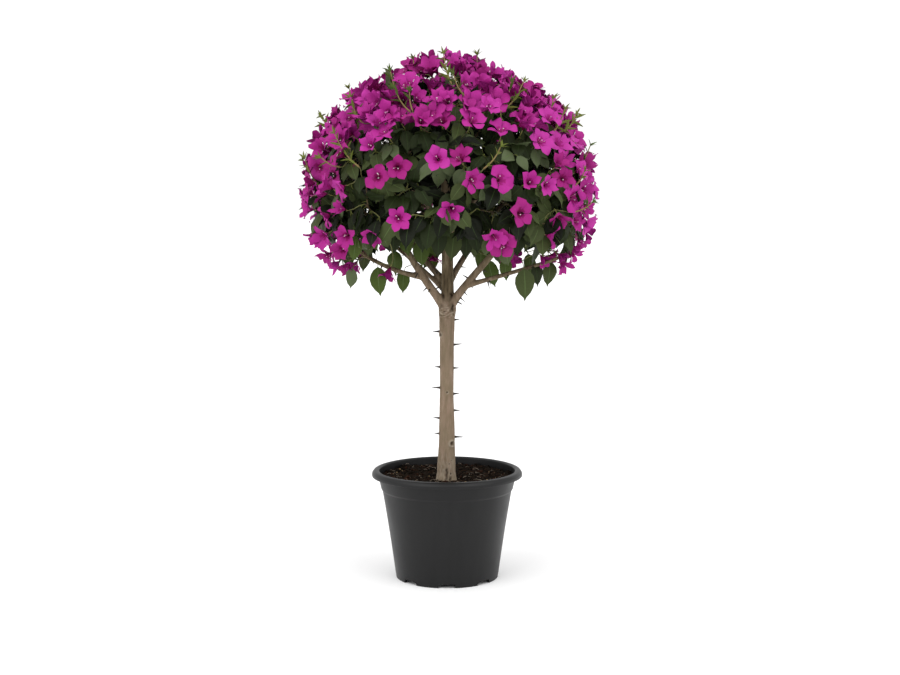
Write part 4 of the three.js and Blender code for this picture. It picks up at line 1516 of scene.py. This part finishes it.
class Crown:
    """The crown in the making: its twigs, and the pieces that its sprays fill."""

    def __init__(self, limbs):
        self.growth = Growth(limbs)
        self.leaves = {"upper": Joined(), "lower": Joined()}
        self.blooms = {"upper": Joined(), "lower": Joined()}
        self.shoots = Joined()

    def add_spray(self, kind, place, tip):
        """Grows a twig to its tip, and puts there what this kind of spray carries."""
        rng = own_rng(place)
        out = outward(place)
        level = "upper" if place[2] > LEVEL_SPLIT else "lower"
        leaves, blooms = self.leaves[level], self.blooms[level]
        if kind == "low_bloom":
            line = self.growth.grow(tip, unit(out + UP * 0.1))
            hang = out - UP * 0.5 + 0.3 * heading_vector(FRONT)
            low_bloom(blooms, line, unit(hang + scattered(rng, 0.35)), rng)
        elif kind in ("bloom", "front_bloom"):
            facing = bloom_facing(kind, place, rng)
            self.growth.grow(tip, unit(out + UP * 0.3))
            twin = kind == "bloom" and place[2] > TWIN_BLOOM_Z and rng.random() < TWIN_SHARE
            fan = round(from_table(FAN_LEAVES, place[2]) * (0.5 if kind == "bloom" else 1.0))
            sizes = BLOOM_RADIUS if place[2] < HIGH_BLOOM_Z else HIGH_BLOOM_RADIUS
            bloom_cluster(blooms, tip, facing, sizes, 2 if twin else 1, rng)
            leaf_whorl(leaves, tip - facing * 0.004, facing, fan, rng)
        elif kind == "shoot":
            way = unit(0.75 * out + 0.6 * UP + scattered(rng, 0.25))
            base = place - way * rng.uniform(0.055, 0.080)
            self.growth.grow(base, unit(out + UP * 0.5))
            add_shoot(self.shoots, base, place, rng)
        elif kind == "hanging":
            line = self.growth.grow(tip, unit(out - UP * 0.2))
            leaf_spray(leaves, line, 2, 2.4, rng, hanging=True)
        else:
            droop = lerp((1.15, 0.25), smoothstep(place[2], 0.62, 0.95))
            line = self.growth.grow(tip, unit(out + UP * 0.25 + scattered(rng, 0.3)))
            leaf_spray(leaves, line, 5 if kind == "leafy" else 4, droop, rng)

    def add_front_shoot(self, tip, foot):
        base = on_front(*foot, 0.016)
        self.growth.grow(base, unit(outward(base) + UP * 0.5))
        add_shoot(self.shoots, base, on_front(*tip, -0.004), own_rng(base))

    def add_hanging_leaf(self, x, y, z, length, tone):
        foot = np.array([x, y, z])
        rng = own_rng(foot)
        out = heading_vector(math.degrees(math.atan2(y, x)))
        self.growth.grow(foot, unit(out - UP * 0.3))
        axis = unit(0.15 * out - UP + scattered(rng, 0.12))
        normal = 0.4 * out + heading_vector(FRONT) + scattered(rng, 0.22)
        add_stalked_leaf(self.leaves["lower"], foot, axis, normal, length, tone, rng)

    def place_pieces(self, masses):
        """Makes the pieces; the leaves stand for the masses of foliage."""
        high = [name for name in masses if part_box(name)[0].z > 0.70]
        low = [name for name in masses if name not in high]
        place_piece(self.growth.piece(), "bark")
        blades = [plant_material(*look) for look in LEAF_LOOKS]
        petals = [plant_material(*look) for look in BLOOM_LOOKS]
        for level, nodes in (("upper", high), ("lower", low)):
            place_piece(self.leaves[level].piece(f"leaves_{level}", blades), "leaves", *nodes)
        for level, blooms in self.blooms.items():
            place_piece(blooms.piece(f"blooms_{level}", petals), "bracts")
        young = [plant_material(*look) for look in SHOOT_LOOKS]
        place_piece(self.shoots.piece("young_shoots", young), "leaves")


def make_crown(frame, limbs, rng):
    """Twigs, leaves, blooms and shoots, grown from the inside outwards."""
    sprays = []
    for kind, places in crown_places(frame, rng).items():
        sprays += [(kind, place, spray_tip(kind, place)) for place in places]
    sprays.sort(key=lambda spray: float(outline_measure(spray[2])[0]))

    crown = Crown(limbs)
    for tip in np.array(LEADING_TWIGS):
        crown.growth.grow(tip, outward(tip))
    for spray in sprays:
        crown.add_spray(*spray)
    for shoot in FRONT_SHOOTS:
        crown.add_front_shoot(*shoot)
    for leaf in HANGING_LEAVES:
        crown.add_hanging_leaf(*leaf)
    crown.place_pieces([name for name in frame["nodes"] if name.startswith("mass_")])


def main():
    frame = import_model()
    make_stage()
    limbs = limb_lines()
    make_pot()
    soil_rng = np.random.default_rng(SEED)
    make_soil()
    make_crumbs(soil_rng)
    make_fibres(soil_rng)
    make_bark(limbs)
    make_thorns(limbs, np.random.default_rng(SEED + 1))
    make_crown(frame, limbs, np.random.default_rng(CROWN_SEED))


main()
